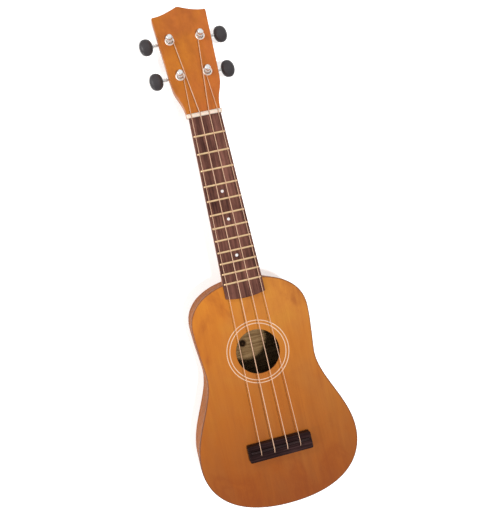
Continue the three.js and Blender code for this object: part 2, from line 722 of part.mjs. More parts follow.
function tuner(name) {
  const { side, x, s } = TUNERS[name];
  const group = new THREE.Group();
  group.position.set(side * x, s, 0);
  for (const [piece, { make, finish, onShaft, z = 0 }] of Object.entries(TUNER_PIECES)) {
    const geometry = make();
    const mesh = named(`tuner_${name}_${piece}`, side > 0 ? geometry : mirrored(geometry), finish);
    mesh.position.z = z;
    if (onShaft) {
      mesh.position.set(0, WORM_OFFSET, SHAFT_Z);
      mesh.rotation.y = side * Math.PI / 2;
    }
    group.add(mesh);
  }
  return group;
}

// ---------------------------------------------------------------- assembly

function named(name, geometry, finish) {
  const mesh = new THREE.Mesh(geometry, finish);
  mesh.name = name;
  return mesh;
}

function bridgePlate() {
  const { width, length, thickness, y } = BRIDGE_PLATE;
  return block(-width / 2, width / 2, y - length / 2, y + length / 2, RIB_HIGH_Z - thickness, RIB_HIGH_Z);
}

const group = new THREE.Group();

function add(name, geometry, finish) {
  group.add(named(name, geometry, finish));
}

add('soundboard', soundboard(), MATERIALS.top);
add('back', slab(fullOutline(), 0, PLATE_THICKNESS), MATERIALS.rib);
for (const [name, side] of Object.entries(SIDES)) {
  add(`side_${name}`, rib(side), MATERIALS.rib);
}
add('lining_top', lining(RIB_HIGH_Z - LINING.height), MATERIALS.inner);
add('lining_back', lining(RIB_LOW_Z), MATERIALS.inner);
add('neck_block', endBlock(true, NECK_BLOCK.halfWidth, NECK_BLOCK.length, RIB_LOW_Z, RIB_HIGH_Z), MATERIALS.inner);
add('tail_block', endBlock(
  false, TAIL_BLOCK.halfWidth, TAIL_BLOCK.length,
  RIB_LOW_Z + LINING.height, RIB_HIGH_Z - LINING.height), MATERIALS.inner);
for (const [name, y] of Object.entries(TOP_BRACES_Y)) {
  add(`top_brace_${name}`, brace(y, RIB_HIGH_Z, -1), MATERIALS.inner);
}
for (const [name, y] of Object.entries(BACK_BRACES_Y)) {
  add(`back_brace_${name}`, brace(y, RIB_LOW_Z, 1), MATERIALS.inner);
}
add('bridge_plate', bridgePlate(), MATERIALS.inner);
add('rosette_outer', rosette(ROSETTE.outerRadius), MATERIALS.purfling);
add('rosette_inner', rosette(ROSETTE.innerRadius), MATERIALS.purfling);
add('bridge', bridge(), MATERIALS.rosewood);
add('saddle', saddle(), MATERIALS.rosewood);
add('neck', neck(), MATERIALS.neck);
add('fretboard', fretboard(), MATERIALS.rosewood);
add('nut', nut(), MATERIALS.bone);
for (const number of fretNumbers()) {
  add(`fret_${String(number).padStart(2, '0')}`, fret(number), MATERIALS.fret);
}
for (const name of Object.keys(STRINGS)) {
  add(`string_${name}`, string(name), MATERIALS.nylon);
}

const head = new THREE.Group();
head.position.set(0, HEAD_Y, TOP_Z);
head.rotation.x = -HEAD_TILT;
for (const name of Object.keys(TUNERS)) {
  head.add(tuner(name));
}
group.add(head);

export default group;
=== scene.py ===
"""A soprano ukulele lying on its back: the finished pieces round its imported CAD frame.

Everything is in metres in the CAD frame: +Z out of the soundboard, +Y towards the head,
+X to the treble side.
"""

import json
import math

import bmesh
import bpy
from mathutils import Matrix, Vector


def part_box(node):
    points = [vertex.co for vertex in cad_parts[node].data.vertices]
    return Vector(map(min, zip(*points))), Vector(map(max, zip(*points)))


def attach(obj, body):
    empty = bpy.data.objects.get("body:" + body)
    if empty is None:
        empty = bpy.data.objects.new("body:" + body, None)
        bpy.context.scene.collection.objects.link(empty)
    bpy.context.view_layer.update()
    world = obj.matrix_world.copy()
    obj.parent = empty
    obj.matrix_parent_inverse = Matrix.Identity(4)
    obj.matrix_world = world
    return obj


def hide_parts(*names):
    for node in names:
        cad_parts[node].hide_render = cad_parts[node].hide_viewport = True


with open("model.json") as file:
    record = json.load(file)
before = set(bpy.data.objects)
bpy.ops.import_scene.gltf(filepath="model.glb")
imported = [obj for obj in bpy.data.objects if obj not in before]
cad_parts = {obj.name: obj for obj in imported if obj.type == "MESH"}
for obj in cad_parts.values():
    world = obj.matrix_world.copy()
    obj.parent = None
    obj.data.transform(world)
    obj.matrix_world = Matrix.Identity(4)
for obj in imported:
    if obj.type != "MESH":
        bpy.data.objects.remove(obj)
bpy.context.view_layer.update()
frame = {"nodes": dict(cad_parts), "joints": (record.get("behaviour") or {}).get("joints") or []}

MM = 0.001

# ------------------------------ places from the frame

TOP_LOW, TOP_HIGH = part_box("soundboard")
TOP_Z = TOP_HIGH.z
BODY_TOP_Y = TOP_HIGH.y
BODY_BOTTOM_Y = TOP_LOW.y
LOWER_HALF_WIDTH = TOP_HIGH.x
PLATE = TOP_Z - TOP_LOW.z  # thickness of the top and of the back
NUT_LOW, NUT_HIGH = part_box("nut")
NUT_Y = NUT_LOW.y
HEAD_Y = NUT_HIGH.y
BOARD_LOW, BOARD_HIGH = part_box("fretboard")
BRIDGE_LOW, BRIDGE_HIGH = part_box("bridge")
SADDLE_LOW, SADDLE_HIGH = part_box("saddle")
SADDLE_Y = (SADDLE_LOW.y + SADDLE_HIGH.y) / 2
HOLE_Y = sum(corner.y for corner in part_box("rosette_outer")) / 2
RING_RADII = {name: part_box(name)[1].x for name in ("rosette_outer", "rosette_inner")}
JOINTS = {joint["name"]: joint for joint in frame["joints"]}
HEAD_NORMAL = Vector(JOINTS["tuner_g_post_turn"]["axis"])
HEAD_TILT = math.atan2(HEAD_NORMAL.y, HEAD_NORMAL.z)
HEAD_MATRIX = Matrix.Translation((0, HEAD_Y, TOP_Z)) @ Matrix.Rotation(-HEAD_TILT, 4, "X")

# ------------------------------ sizes of the finish

HOLE_RADIUS = 22.8 * MM
HOLE_EASE = 0.5 * MM
RING_WIDTH = 1.0 * MM
GROOVE_DEPTH = 0.5 * MM
RIB = 1.75 * MM  # thickness of a side
EDGE_ROUND = 1.9 * MM
BACK_ROUND = 1.4 * MM
UPPER_BOUT = {"x": 61.75 * MM, "y": 79.2 * MM, "in": 32.3 * MM, "out": 18.5 * MM}
WAIST = {"x": 58 * MM, "y": 29 * MM, "in": 8 * MM, "out": 26.6 * MM}
LOWER_BOUT = {"x": LOWER_HALF_WIDTH, "y": -58.2 * MM, "in": 32.2 * MM, "out": 33.4 * MM}
TOP_HANDLE = 26 * MM
BOTTOM_HANDLE = 58.4 * MM
OUTLINE_STEPS = (26, 12, 24, 34)

BOARD_CORNER_Y = 104.8 * MM
BOARD_HALF_AT_NUT = 16.75 * MM
BOARD_SPREAD = 4.1 * MM  # how much wider each half is at the body's end
NECK_DEPTH = {"nut": 14.5 * MM, "heel": 16.5 * MM, "cap": 60 * MM}
BACK_KNOT = (-8.2 * MM, 47.7 * MM, PLATE)
HEAD_THICKNESS = 11 * MM
HEAD_ROUND = 1.1 * MM
POST_HOLE = 4.5 * MM
STRINGS = {
    "g": {"diameter": 0.62 * MM, "nut": -13.9 * MM, "saddle": -20.8 * MM},
    "c": {"diameter": 0.9 * MM, "nut": -4.6 * MM, "saddle": -6.9 * MM},
    "e": {"diameter": 0.8 * MM, "nut": 4.6 * MM, "saddle": 6.9 * MM},
    "a": {"diameter": 0.62 * MM, "nut": 13.9 * MM, "saddle": 20.8 * MM},
}
STRING_MOUTH = 4.4 * MM  # how far behind the saddle a string dives into the bridge
KNOT_POCKET = {"length": 3 * MM, "half_width": 1.9 * MM, "high": 1.7 * MM, "low": 5.3 * MM}
STRING_HOLE_END = 3.4 * MM
STRING_BORE = 0.85 * MM
POST_WAIST = 2.5 * MM
POST_RADIUS = 3 * MM
POST_FOOT = 2.1 * MM
POST_TOP = 10  # in millimetres, like the turned profiles
POST_HOLE_HEIGHT = 7.4 * MM
WIND_HEIGHT = 3.6 * MM
WIND_TURNS = 2.5
TEETH = 14
MODULE = 0.65 * MM
PITCH = math.pi * MODULE
GEAR_RADIUS = TEETH * MODULE / 2
WORM_RADIUS = 2.3 * MM
WORM_OFFSET = GEAR_RADIUS + WORM_RADIUS
WORM_LENGTH = 9.6 * MM
THREAD_OUT = 0.92 * MODULE
THREAD_IN = 1.02 * MODULE
PLATE_TOP = -(HEAD_THICKNESS + 0.3 * MM)
SHEET = 0.8 * MM
BASE = {"half_width": 6.6 * MM, "low": -15 * MM, "high": 18 * MM, "corner": 3.2 * MM}
PLATE_SCREWS = {"low": -12 * MM, "high": 15 * MM}
SHAFT_Z = PLATE_TOP - SHEET - WORM_RADIUS - THREAD_OUT - 0.4 * MM
SHAFT_RADIUS = 1.4 * MM
GEAR_HALF = 2.1 * MM
EAR = {"inner": WORM_LENGTH / 2 + 0.3 * MM, "thickness": 1.0 * MM,
       "half_width": 3.2 * MM, "drop": 2.9 * MM}
BUTTON_CENTRE = 24.3 * MM
BUTTON_HALF = Vector((7.3, 9.8, 4.2)) * MM
ONTO_X = Matrix.Rotation(math.pi / 2, 4, "Y")  # lays a piece drawn about Z along X
ONTO_SHAFT = Matrix.Translation((0, WORM_OFFSET, SHAFT_Z)) @ ONTO_X


# ------------------------------ mesh helpers


def smooth(mesh, sharp):
    """Smooth shading, but for edges over the angle sharp, in degrees."""
    mesh.shade_smooth()
    mesh.set_sharp_from_angle(angle=math.radians(sharp))


def linked(name, data):
    """A new object in the scene."""
    item = bpy.data.objects.new(name, data)
    bpy.context.scene.collection.objects.link(item)
    return item


def arc(degrees, steps):
    """Cosines and sines of the angles from 0 to degrees."""
    angles = [math.radians(degrees) * i / steps for i in range(steps + 1)]
    return [(math.cos(a), math.sin(a)) for a in angles]


def circle(radius, steps):
    """Points (x, y) round a circle."""
    return [(radius * c, radius * s) for c, s in arc(360, steps)[:-1]]


def skin(name, loops, closed=False, matrix=None, sharp=35):
    """A skin over rings of points. Open ends are capped; closed joins the last to the first."""
    count = len(loops[0])
    verts = [Vector(p) for loop in loops for p in loop]
    faces = []
    rows = len(loops)
    for row in range(rows if closed else rows - 1):
        here, there = row * count, (row + 1) % rows * count
        for i in range(count):
            j = (i + 1) % count
            faces.append((here + i, here + j, there + j, there + i))
    if not closed:
        faces.append(tuple(reversed(range(count))))
        faces.append(tuple(range((rows - 1) * count, rows * count)))
    mesh = bpy.data.meshes.new(name)
    if matrix:
        verts = [matrix @ v for v in verts]
    mesh.from_pydata(verts, [], faces)
    work = bmesh.new()
    work.from_mesh(mesh)
    bmesh.ops.remove_doubles(work, verts=work.verts, dist=1e-7)
    bmesh.ops.recalc_face_normals(work, faces=work.faces)
    work.to_mesh(mesh)
    work.free()
    smooth(mesh, sharp)
    return linked(name, mesh)


def moved_in(points, amount):
    """A closed outline, drawn anticlockwise, with each point moved inwards."""
    result = []
    count = len(points)
    for i, here in enumerate(points):
        before, after = points[i - 1], points[(i + 1) % count]
        a, b = (here - before).normalized(), (after - here).normalized()
        normal_a, normal_b = Vector((a.y, -a.x)), Vector((b.y, -b.x))
        corner = (normal_a + normal_b) / max(0.35, 1 + normal_a.dot(normal_b))
        result.append(here - corner * amount)
    return result


def rounded_slab(name, outline, low, high, round_top, round_low, steps=5, matrix=None,
                 support=0.5 * MM):
    """A slab over an anticlockwise outline, with its top and bottom edges rounded.

    support is how far in from the rounding its flat faces have one more ring.
    """
    rings = []

    def ring(inset, z):
        rings.append([(p.x, p.y, z) for p in moved_in(outline, inset)])

    if support:
        ring(round_low + support, low)
    turn = arc(90, steps)
    for c, s in turn:
        ring(round_low * (1 - s), low + round_low * (1 - c))
    for c, s in turn:
        ring(round_top * (1 - c), high - round_top * (1 - s))
    if support:
        ring(round_top + support, high)
    return skin(name, rings, matrix=matrix)


def turned(name, profile, steps=48, matrix=None):
    """A profile of (radius, z) points in millimetres, turned about Z.

    It starts and ends on the axis, where it keeps a hair's breadth, or closes on itself.
    """
    hair = 0.0005
    loops = [[(x, y, z * MM) for x, y in circle(max(r, hair) * MM, steps)] for r, z in profile]
    closed = profile[0] == profile[-1]
    return skin(name, loops[:-1] if closed else loops, closed=closed, matrix=matrix)


def drill(radius, low, high, steps=48, matrix=None):
    """A cylinder to cut a hole with, in millimetres like turned()."""
    return turned("drill", [(0, low), (radius, low), (radius, high), (0, high)], steps, matrix)


def box(name, low, high):
    x0, y0, z0 = low
    x1, y1, z1 = high
    rings = [[(x0, y0, z), (x1, y0, z), (x1, y1, z), (x0, y1, z)] for z in (z0, z1)]
    return skin(name, rings)


def tube(name, points, radius, sides=12):
    """A round tube through the points, with turned-in ends."""
    points = [Vector(p) for p in points]
    loops = []
    side = None
    last = len(points) - 1
    for i, here in enumerate(points):
        along = (points[min(i + 1, last)] - points[max(i - 1, 0)]).normalized()
        side = side or along.orthogonal().normalized()
        side = (side - along * side.dot(along)).normalized()
        across = along.cross(side)
        ring = [here + side * x + across * y for x, y in circle(radius, sides)]
        if i in (0, last):
            out = along * (radius * 0.5 if i else -radius * 0.5)
            end = [here + out + (p - here) * 0.5 for p in ring]
            loops += [ring, end] if i else [end, ring]
        else:
            loops.append(ring)
    return skin(name, loops, sharp=60)


def smooth_route(points, spacing, corner):
    """Points along a route of straight runs, with its corners rounded over a length."""
    points = [Vector(p) for p in points]
    result = [points[0]]

    def run_to(end):
        start = result[-1]
        count = max(1, int((end - start).length / spacing))
        result.extend([start.lerp(end, (k + 1) / count) for k in range(count)])

    for before, here, after in zip(points, points[1:], points[2:]):
        reach = min(corner, (here - before).length * 0.45, (after - here).length * 0.45)
        start = here + (before - here).normalized() * reach
        end = here + (after - here).normalized() * reach
        run_to(start)
        for t in (0.2, 0.4, 0.6, 0.8, 1):
            result.append(start.lerp(here, t).lerp(here.lerp(end, t), t))
    run_to(points[-1])
    return result


def combine(target, others, operation):
    """Joins the other objects to the target, or cuts them out of it, and removes them."""
    for other in others:
        modifier = target.modifiers.new("boolean", "BOOLEAN")
        modifier.operation = operation
        modifier.solver = "EXACT"
        modifier.object = other
    bpy.context.view_layer.update()
    graph = bpy.context.evaluated_depsgraph_get()
    mesh = bpy.data.meshes.new_from_object(target.evaluated_get(graph))
    target.modifiers.clear()
    target.data = mesh
    for other in others:
        bpy.data.objects.remove(other)
    smooth(mesh, 32)


def soften(item, width):
    """A small bevel on the sharp edges."""
    modifier = item.modifiers.new("edge", "BEVEL")
    modifier.width = width
    modifier.segments = 2
    modifier.limit_method = "ANGLE"
    modifier.angle_limit = math.radians(40)
    modifier.harden_normals = True


def finish_piece(item, look, body="body", replaces=(), raw=None, raw_look="inner"):
    """Gives a piece its material and body, and hides the CAD parts it replaces. Faces for which raw
    is true are unstained.
    """
    item.data.materials.clear()
    item.data.materials.append(LOOKS[look])
    if raw:
        item.data.materials.append(LOOKS[raw_look])
        for face in item.data.polygons:
            face.material_index = int(raw(face.center, face.normal))
    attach(item, body)
    if replaces:
        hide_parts(*replaces)


# ------------------------------ material helpers


class Recipe:
    """A material's node tree, with short ways to add textures and mixes."""

    def __init__(self, name):
        self.material = bpy.data.materials.new(name)
        self.material.use_nodes = True
        self.tree = self.material.node_tree
        self.shader = self.tree.nodes["Principled BSDF"]
        self.place = self.add("ShaderNodeTexCoord").outputs["Object"]

    def add(self, kind, inputs=None, **settings):
        node = self.tree.nodes.new(kind)
        for key, value in settings.items():
            setattr(node, key, value)
        for key, value in (inputs or {}).items():
            self.put(node.inputs[key], value)
        return node

    def put(self, socket, value):
        if isinstance(value, bpy.types.NodeSocket):
            self.tree.links.new(value, socket)
        else:
            socket.default_value = value

    def set(self, **values):
        for key, value in values.items():
            self.put(self.shader.inputs[key.replace("_", " ")], value)

    def noise(self, per_metre, detail=3, roughness=0.5, distortion=0.0, offset=(0, 0, 0)):
        mapping = self.add("ShaderNodeMapping", {
            "Vector": self.place, "Scale": per_metre, "Location": offset})
        return self.add("ShaderNodeTexNoise", {
            "Vector": mapping.outputs[0], "Scale": 1.0, "Detail": detail,
            "Roughness": roughness, "Distortion": distortion}).outputs[0]

    def ramp(self, factor, stops):
        node = self.add("ShaderNodeValToRGB", {"Fac": factor})
        elements = node.color_ramp.elements
        while len(elements) < len(stops):
            elements.new(0.5)
        for element, (position, colour) in zip(elements, stops):
            element.position = position
            element.color = (*colour, 1)
        return node.outputs[0]

    def level(self, value, low, high, to_low=0.0, to_high=1.0):
        return self.add("ShaderNodeMapRange", {
            "Value": value, "From Min": low, "From Max": high,
            "To Min": to_low, "To Max": to_high}).outputs[0]

    def math(self, operation, a, b=0.0):
        return self.add("ShaderNodeMath", {0: a, 1: b}, operation=operation).outputs[0]

    def mix(self, factor, a, b, blend="MIX"):
        node = self.add("ShaderNodeMix", data_type="RGBA", blend_type=blend)
        self.put(node.inputs[0], factor)
        for index, value in ((6, a), (7, b)):
            if not isinstance(value, bpy.types.NodeSocket) and len(value) == 3:
                value = (*value, 1)
            self.put(node.inputs[index], value)
        return node.outputs[2]

    def bump(self, height, strength, distance):
        node = self.add("ShaderNodeBump", {
            "Height": height, "Strength": strength, "Distance": distance})
        self.put(self.shader.inputs["Normal"], node.outputs[0])

    def axis(self, name):
        return self.add("ShaderNodeSeparateXYZ", {0: self.place}).outputs[name]


def wood(name, dark, middle, light, roughness=0.5, fine=0.5, pores=0.35, depth=0.05, shine=0.3,
         streaky=1.0, streaks_per_metre=1250, spread=0.17, along="Y", tail_shade=None,
         painted_rim_shade=None, blotches_and_sheen=None, knot=None):
    """Stained wood with its grain along Y or X. A smaller spread gives a harder figure.

    tail_shade tints it towards the tail. The rim tint is painted shade: it darkens the top where
    its rim turns down. The patch tint is partly the wood's own soft blotches and partly painted
    sheen, a paler, bluer haze that grows towards the treble side. knot is a dark knot's place.
    """
    r = Recipe(name)

    def grain(across, lengthwise, **settings):
        scale = (across, lengthwise, across) if along == "Y" else (lengthwise, across, across)
        return r.noise(scale, **settings)

    def weighed(a, b, share):
        return r.math("ADD", r.math("MULTIPLY", a, 1 - share), r.math("MULTIPLY", b, share))

    mottle = grain(30, 19, detail=4, roughness=0.6, distortion=0.5)
    bands = grain(120, 7, detail=4, roughness=0.6, distortion=0.8, offset=(3, 0, 0))
    streaks = grain(streaks_per_metre, streaks_per_metre / 50, detail=3, roughness=0.6)
    figure = weighed(weighed(mottle, bands, 0.45 * streaky), streaks, 0.4 * fine)
    colour = r.ramp(figure, [(0.5 - spread, dark), (0.5, middle), (0.5 + spread, light)])

    def tinted(tint, place, patchiness):
        share = r.level(r.math("ADD", place, patchiness), 0, 1)
        return r.mix(share, colour, tint, "MULTIPLY")

    # Partly real: soft blotches in the wood's colour. Partly painted sheen: the tint grows paler
    # and bluer towards the treble side, standing in for a soft highlight.
    if blotches_and_sheen:
        cloud = r.noise((26, 15, 26), detail=2, distortion=0.4, offset=(7, 2, 0))
        sheen_towards_treble = r.level(r.axis("X"), -blotches_and_sheen["reach"], blotches_and_sheen["reach"])
        colour = tinted(blotches_and_sheen["tint"], sheen_towards_treble, r.level(cloud, 0.4, 0.6, -0.4, 0.4))
    if tail_shade:
        towards_tail = r.level(r.axis("Y"), 0.10, -0.115)
        colour = tinted(tail_shade, towards_tail, r.level(mottle, 0.3, 0.7, -0.3, 0.3))
    # Painted shade: the rim tint darkens the top where its edge rounds down, in place of the shade
    # there.
    if painted_rim_shade:
        rim_shade_share = r.level(r.axis("Z"), TOP_Z - 0.02 * MM, TOP_Z - 0.45 * MM)
        colour = r.mix(rim_shade_share, colour, painted_rim_shade, "MULTIPLY")
    if knot:
        distance = r.add("ShaderNodeVectorMath", {0: r.place, 1: knot}, operation="DISTANCE")
        uneven = r.level(mottle, 0.3, 0.7, -1.4 * MM, 1.4 * MM)
        wavy = r.math("ADD", distance.outputs["Value"], uneven)
        core = [c * 0.2 for c in dark]
        rings = r.ramp(r.level(wavy, 0.5 * MM, 6.5 * MM), [
            (0.0, dark), (0.15, core), (0.45, core), (0.7, dark), (1.0, middle)])
        colour = r.mix(r.level(wavy, 6.0 * MM, 3.5 * MM), colour, rings)
    dashes = r.level(grain(3000, 95, detail=2, roughness=0.5), 0.56, 0.66)
    colour = r.mix(r.math("MULTIPLY", dashes, pores), colour, dark)
    r.set(Base_Color=colour, Specular_IOR_Level=shine)
    worn = r.math("ADD", streaks, dashes)
    r.set(Roughness=r.level(worn, 0.3, 1.6, roughness - 0.06, roughness + 0.12))
    r.bump(r.math("SUBTRACT", r.math("MULTIPLY", streaks, 0.5), dashes), 0.35, depth * MM)
    return r.material


def metal(name, colour, roughness, smudge=0.06, scratch=0.4, tint=None, stretch=(1, 1, 1),
          metallic=1.0):
    """Plated or polished metal with smudges, faint scratches and a slight tint in places."""
    r = Recipe(name)
    cloud = r.noise((160, 160, 160), detail=3, roughness=0.6)
    lines = r.noise([900 * s for s in stretch], detail=2, roughness=0.7, distortion=1.2)
    base = r.mix(r.level(cloud, 0.35, 0.7), colour, tint or [c * 0.86 for c in colour])
    r.set(Base_Color=base, Metallic=metallic)
    r.set(Roughness=r.math("ADD", r.level(cloud, 0.3, 0.7, roughness, roughness + smudge),
                           r.level(lines, 0.5, 0.75, 0.0, 0.05 * scratch)))
    r.bump(lines, 0.12 * scratch, 0.02 * MM)
    return r.material


def plastic(name, colour, roughness, grain=0.3, coat=0.0, glow=0.0, variation=0.12):
    """Moulded plastic: fine texture, slight variation and softly worn gloss."""
    r = Recipe(name)
    cloud = r.noise((140, 140, 140), detail=3)
    fine = r.noise((2600, 2600, 2600), detail=2, roughness=0.6)
    base = r.mix(r.level(cloud, 0.35, 0.7), colour, [c * (1 - variation) for c in colour])
    r.set(Base_Color=base, Coat_Weight=coat, Coat_Roughness=0.1)
    r.set(Subsurface_Weight=glow, Subsurface_Scale=1.5 * MM)
    r.set(Roughness=r.level(cloud, 0.3, 0.7, roughness - 0.05, roughness + 0.08))
    r.bump(fine, grain, 0.02 * MM)
    return r.material


def nylon(name, colour, clear):
    r = Recipe(name)
    cloud = r.noise((90, 40, 90), detail=2)
    r.set(Base_Color=r.mix(cloud, colour, [1 - 0.82 * (1 - c) for c in colour]), Roughness=0.4,
          Transmission_Weight=clear, IOR=1.4, Specular_IOR_Level=0.4)
    r.bump(r.noise((4000, 300, 4000), detail=1), 0.1, 0.01 * MM)
    return r.material


LOOKS = {
    "top": wood(
        "stained_top", (0.31, 0.086, 0.010), (0.43, 0.138, 0.014), (0.54, 0.200, 0.018),
        roughness=0.46, fine=0.2, pores=0.2, streaky=0.45, spread=0.16,
        # The second tint on the next line, for the rim, is painted shade where the top rounds down.
        tail_shade=(0.44, 0.29, 0.34), painted_rim_shade=(0.42, 0.34, 0.34),
        # The blotch tint is partly real blotches, partly a painted sheen towards the treble side.
        blotches_and_sheen={"tint": (0.97, 1.09, 1.6), "reach": 90 * MM}),
    "rib": wood(
        "stained_rib", (0.18, 0.053, 0.011), (0.285, 0.087, 0.018), (0.36, 0.122, 0.027),
        shine=0.012),
    "neck": wood(
        "stained_neck", (0.29, 0.079, 0.005), (0.388, 0.114, 0.007), (0.46, 0.152, 0.009),
        roughness=0.46, fine=0.3, pores=0.25, streaky=0.6, spread=0.16,
        # The blotch tint: partly a redder tone, partly a painted sheen in its blue, towards the
        # treble side.
        blotches_and_sheen={"tint": (1.0, 0.88, 1.9), "reach": 24 * MM}),
    "inner": wood(
        "raw_wood", (0.10, 0.045, 0.020), (0.17, 0.085, 0.038), (0.25, 0.14, 0.07),
        roughness=0.75, fine=0.7, pores=0.5, depth=0.1),
    "floor_of_box": wood(
        "raw_back", (0.060, 0.030, 0.013), (0.24, 0.142, 0.062), (0.36, 0.235, 0.118),
        roughness=0.75, fine=0.9, pores=0.7, depth=0.1, along="X", spread=0.11,
        streaks_per_metre=600, knot=BACK_KNOT),
    "dark": wood(
        "rosewood", (0.022, 0.006, 0.005), (0.096, 0.037, 0.026), (0.190, 0.078, 0.057),
        roughness=0.6, fine=0.95, pores=0.7, depth=0.08, shine=0.2, spread=0.12,
        streaks_per_metre=520),
    "bridge": wood(
        "ebonised_rosewood", (0.004, 0.001, 0.001), (0.016, 0.006, 0.006), (0.060, 0.030, 0.030),
        fine=0.9, pores=0.6, depth=0.08, shine=0.12, spread=0.13, along="X",
        streaks_per_metre=600),
    "saddle": wood(
        "polished_saddle", (0.006, 0.002, 0.002), (0.018, 0.009, 0.009), (0.055, 0.032, 0.030),
        roughness=0.42, fine=0.6, pores=0.3, shine=0.15, along="X"),
    "purfling": wood(
        "inlay", (0.46, 0.27, 0.17), (0.57, 0.37, 0.25), (0.66, 0.47, 0.33),
        fine=0.4, pores=0.1),
    "fret": metal("fret_wire", (1.0, 0.71, 0.40), 0.28, stretch=(0.2, 1, 1), metallic=0.75),
    "chrome": metal(
        "chrome_plate", (0.84, 0.84, 0.83), 0.20, smudge=0.08, scratch=0.25, metallic=0.9),
    "ferrule": metal(
        "ferrule_plate", (1.0, 0.91, 0.84), 0.30, smudge=0.08, scratch=0.25, metallic=0.7),
    "steel": metal(
        "nickel_sheet", (0.66, 0.66, 0.64), 0.24, smudge=0.12, scratch=0.8,
        stretch=(0.2, 1, 1)),
    "gear": metal(
        "greased_brass", (0.72, 0.50, 0.20), 0.28, smudge=0.2, tint=(0.35, 0.22, 0.09)),
    "nut": plastic("ivory_plastic", (0.64, 0.52, 0.42), 0.4, grain=0.1, coat=0.15, glow=0.1),
    "dot": plastic("pearl_plastic", (0.66, 0.62, 0.60), 0.25, grain=0.05, coat=0.3, glow=0.1),
    "button": plastic("dark_plastic", (0.030, 0.025, 0.027), 0.38, grain=0.25),
    "nylon": nylon("nylon", (0.68, 0.39, 0.23), clear=0.3),
    "wound_nylon": nylon("wound_nylon", (0.52, 0.48, 0.45), clear=0.1),
}

# ------------------------------ outlines


def bezier(a, b, c, d, count):
    """Points from a up to but not including d."""
    a, b, c, d = (Vector(p) for p in (a, b, c, d))
    result = []
    for i in range(count):
        t = i / count
        u = 1 - t
        result.append(u**3 * a + 3 * u * u * t * b + 3 * u * t * t * c + t**3 * d)
    return result


def bout_nodes(bout):
    """A widest or narrowest place of the outline, between its handles above and below."""
    x, y = bout["x"], bout["y"]
    return (x, y + bout["in"]), (x, y), (x, y - bout["out"])


def body_half():
    """The bass half of the body's outline, from the top's middle round to the bottom's."""
    nodes = [(0, BODY_TOP_Y), (TOP_HANDLE, BODY_TOP_Y), *bout_nodes(UPPER_BOUT),
             *bout_nodes(WAIST), *bout_nodes(LOWER_BOUT), (BOTTOM_HANDLE, BODY_BOTTOM_Y),
             (0, BODY_BOTTOM_Y)]
    points = []
    for i, count in enumerate(OUTLINE_STEPS):
        points += bezier(*nodes[3 * i:3 * i + 4], count)
    points.append(Vector(nodes[-1]))
    return [Vector((-p.x, p.y)) for p in points]


def both_sides(half):
    """A whole outline, anticlockwise, from its left half given from top to bottom."""
    return half + [Vector((-p.x, p.y)) for p in reversed(half[1:-1])]


BODY_OUTLINE = both_sides(body_half())


def body_ring(inset, z):
    return [(p.x, p.y, z) for p in moved_in(BODY_OUTLINE, inset)]


# ------------------------------ body


def soundboard():
    """The top plate, with a rounded rim, an eased hole edge and two shallow inlay grooves."""
    angles = [math.atan2(p.y - HOLE_Y, p.x) for p in BODY_OUTLINE]

    def round_hole(radius, z):
        return [(radius * math.cos(a), HOLE_Y + radius * math.sin(a), z) for a in angles]

    low = TOP_Z - PLATE
    profile = [(HOLE_RADIUS + 0.3 * MM, low), (HOLE_RADIUS, low + 0.3 * MM)]
    profile += [(HOLE_RADIUS + HOLE_EASE * (1 - c), TOP_Z - HOLE_EASE * (1 - s))
                for c, s in arc(90, 3)]
    for radius in sorted(RING_RADII.values()):
        inner, outer = radius - RING_WIDTH - 0.02 * MM, radius + 0.02 * MM
        groove_z = TOP_Z - GROOVE_DEPTH
        profile += [(inner - 0.1 * MM, TOP_Z), (inner, TOP_Z), (inner, groove_z),
                    (outer, groove_z), (outer, TOP_Z), (outer + 0.1 * MM, TOP_Z)]
    rings = [round_hole(radius, z) for radius, z in profile]
    last = [Vector(p) for p in rings[-1]]
    rim = [Vector(p) for p in body_ring(EDGE_ROUND + 1.5 * MM, TOP_Z)]
    for share in (0.33, 0.66):
        rings.append([a.lerp(b, share) for a, b in zip(last, rim)])
    rings.append(rim)
    rings += [body_ring(EDGE_ROUND * (1 - s), TOP_Z - EDGE_ROUND * (1 - c))
              for c, s in arc(90, 7)]
    rings += [body_ring(0, low), body_ring(4 * MM, low)]
    item = skin("soundboard_plate", rings, closed=True, sharp=40)
    under = low + 0.4 * MM
    finish_piece(item, "top", replaces=("soundboard",),
                 raw=lambda centre, normal: centre.z < under and normal.z < -0.2)


def rosette_ring(name):
    outer = RING_RADII[name]
    inner = outer - RING_WIDTH
    high, low, ease = TOP_Z + 0.03 * MM, TOP_Z - 0.45 * MM, 0.08 * MM
    profile = [(inner, low), (outer, low), (outer, high - ease), (outer - ease, high),
               (inner + ease, high), (inner, high - ease)]
    loops = [[(x, HOLE_Y + y, z) for x, y in circle(radius, 128)] for radius, z in profile]
    item = skin(f"{name}_inlay", loops, closed=True)
    finish_piece(item, "purfling", replaces=(name,))


def back_plate():
    rings = [body_ring(26 * MM, 0), body_ring(BACK_ROUND + 1 * MM, 0)]
    rings += [body_ring(BACK_ROUND * (1 - s), BACK_ROUND * (1 - c)) for c, s in arc(90, 6)]
    rings += [body_ring(inset, PLATE) for inset in (0, 5 * MM, 26 * MM)]
    item = skin("back_panel", rings, sharp=40)
    finish_piece(item, "rib", replaces=("back",),
                 raw=lambda centre, normal: normal.z > 0.5, raw_look="floor_of_box")


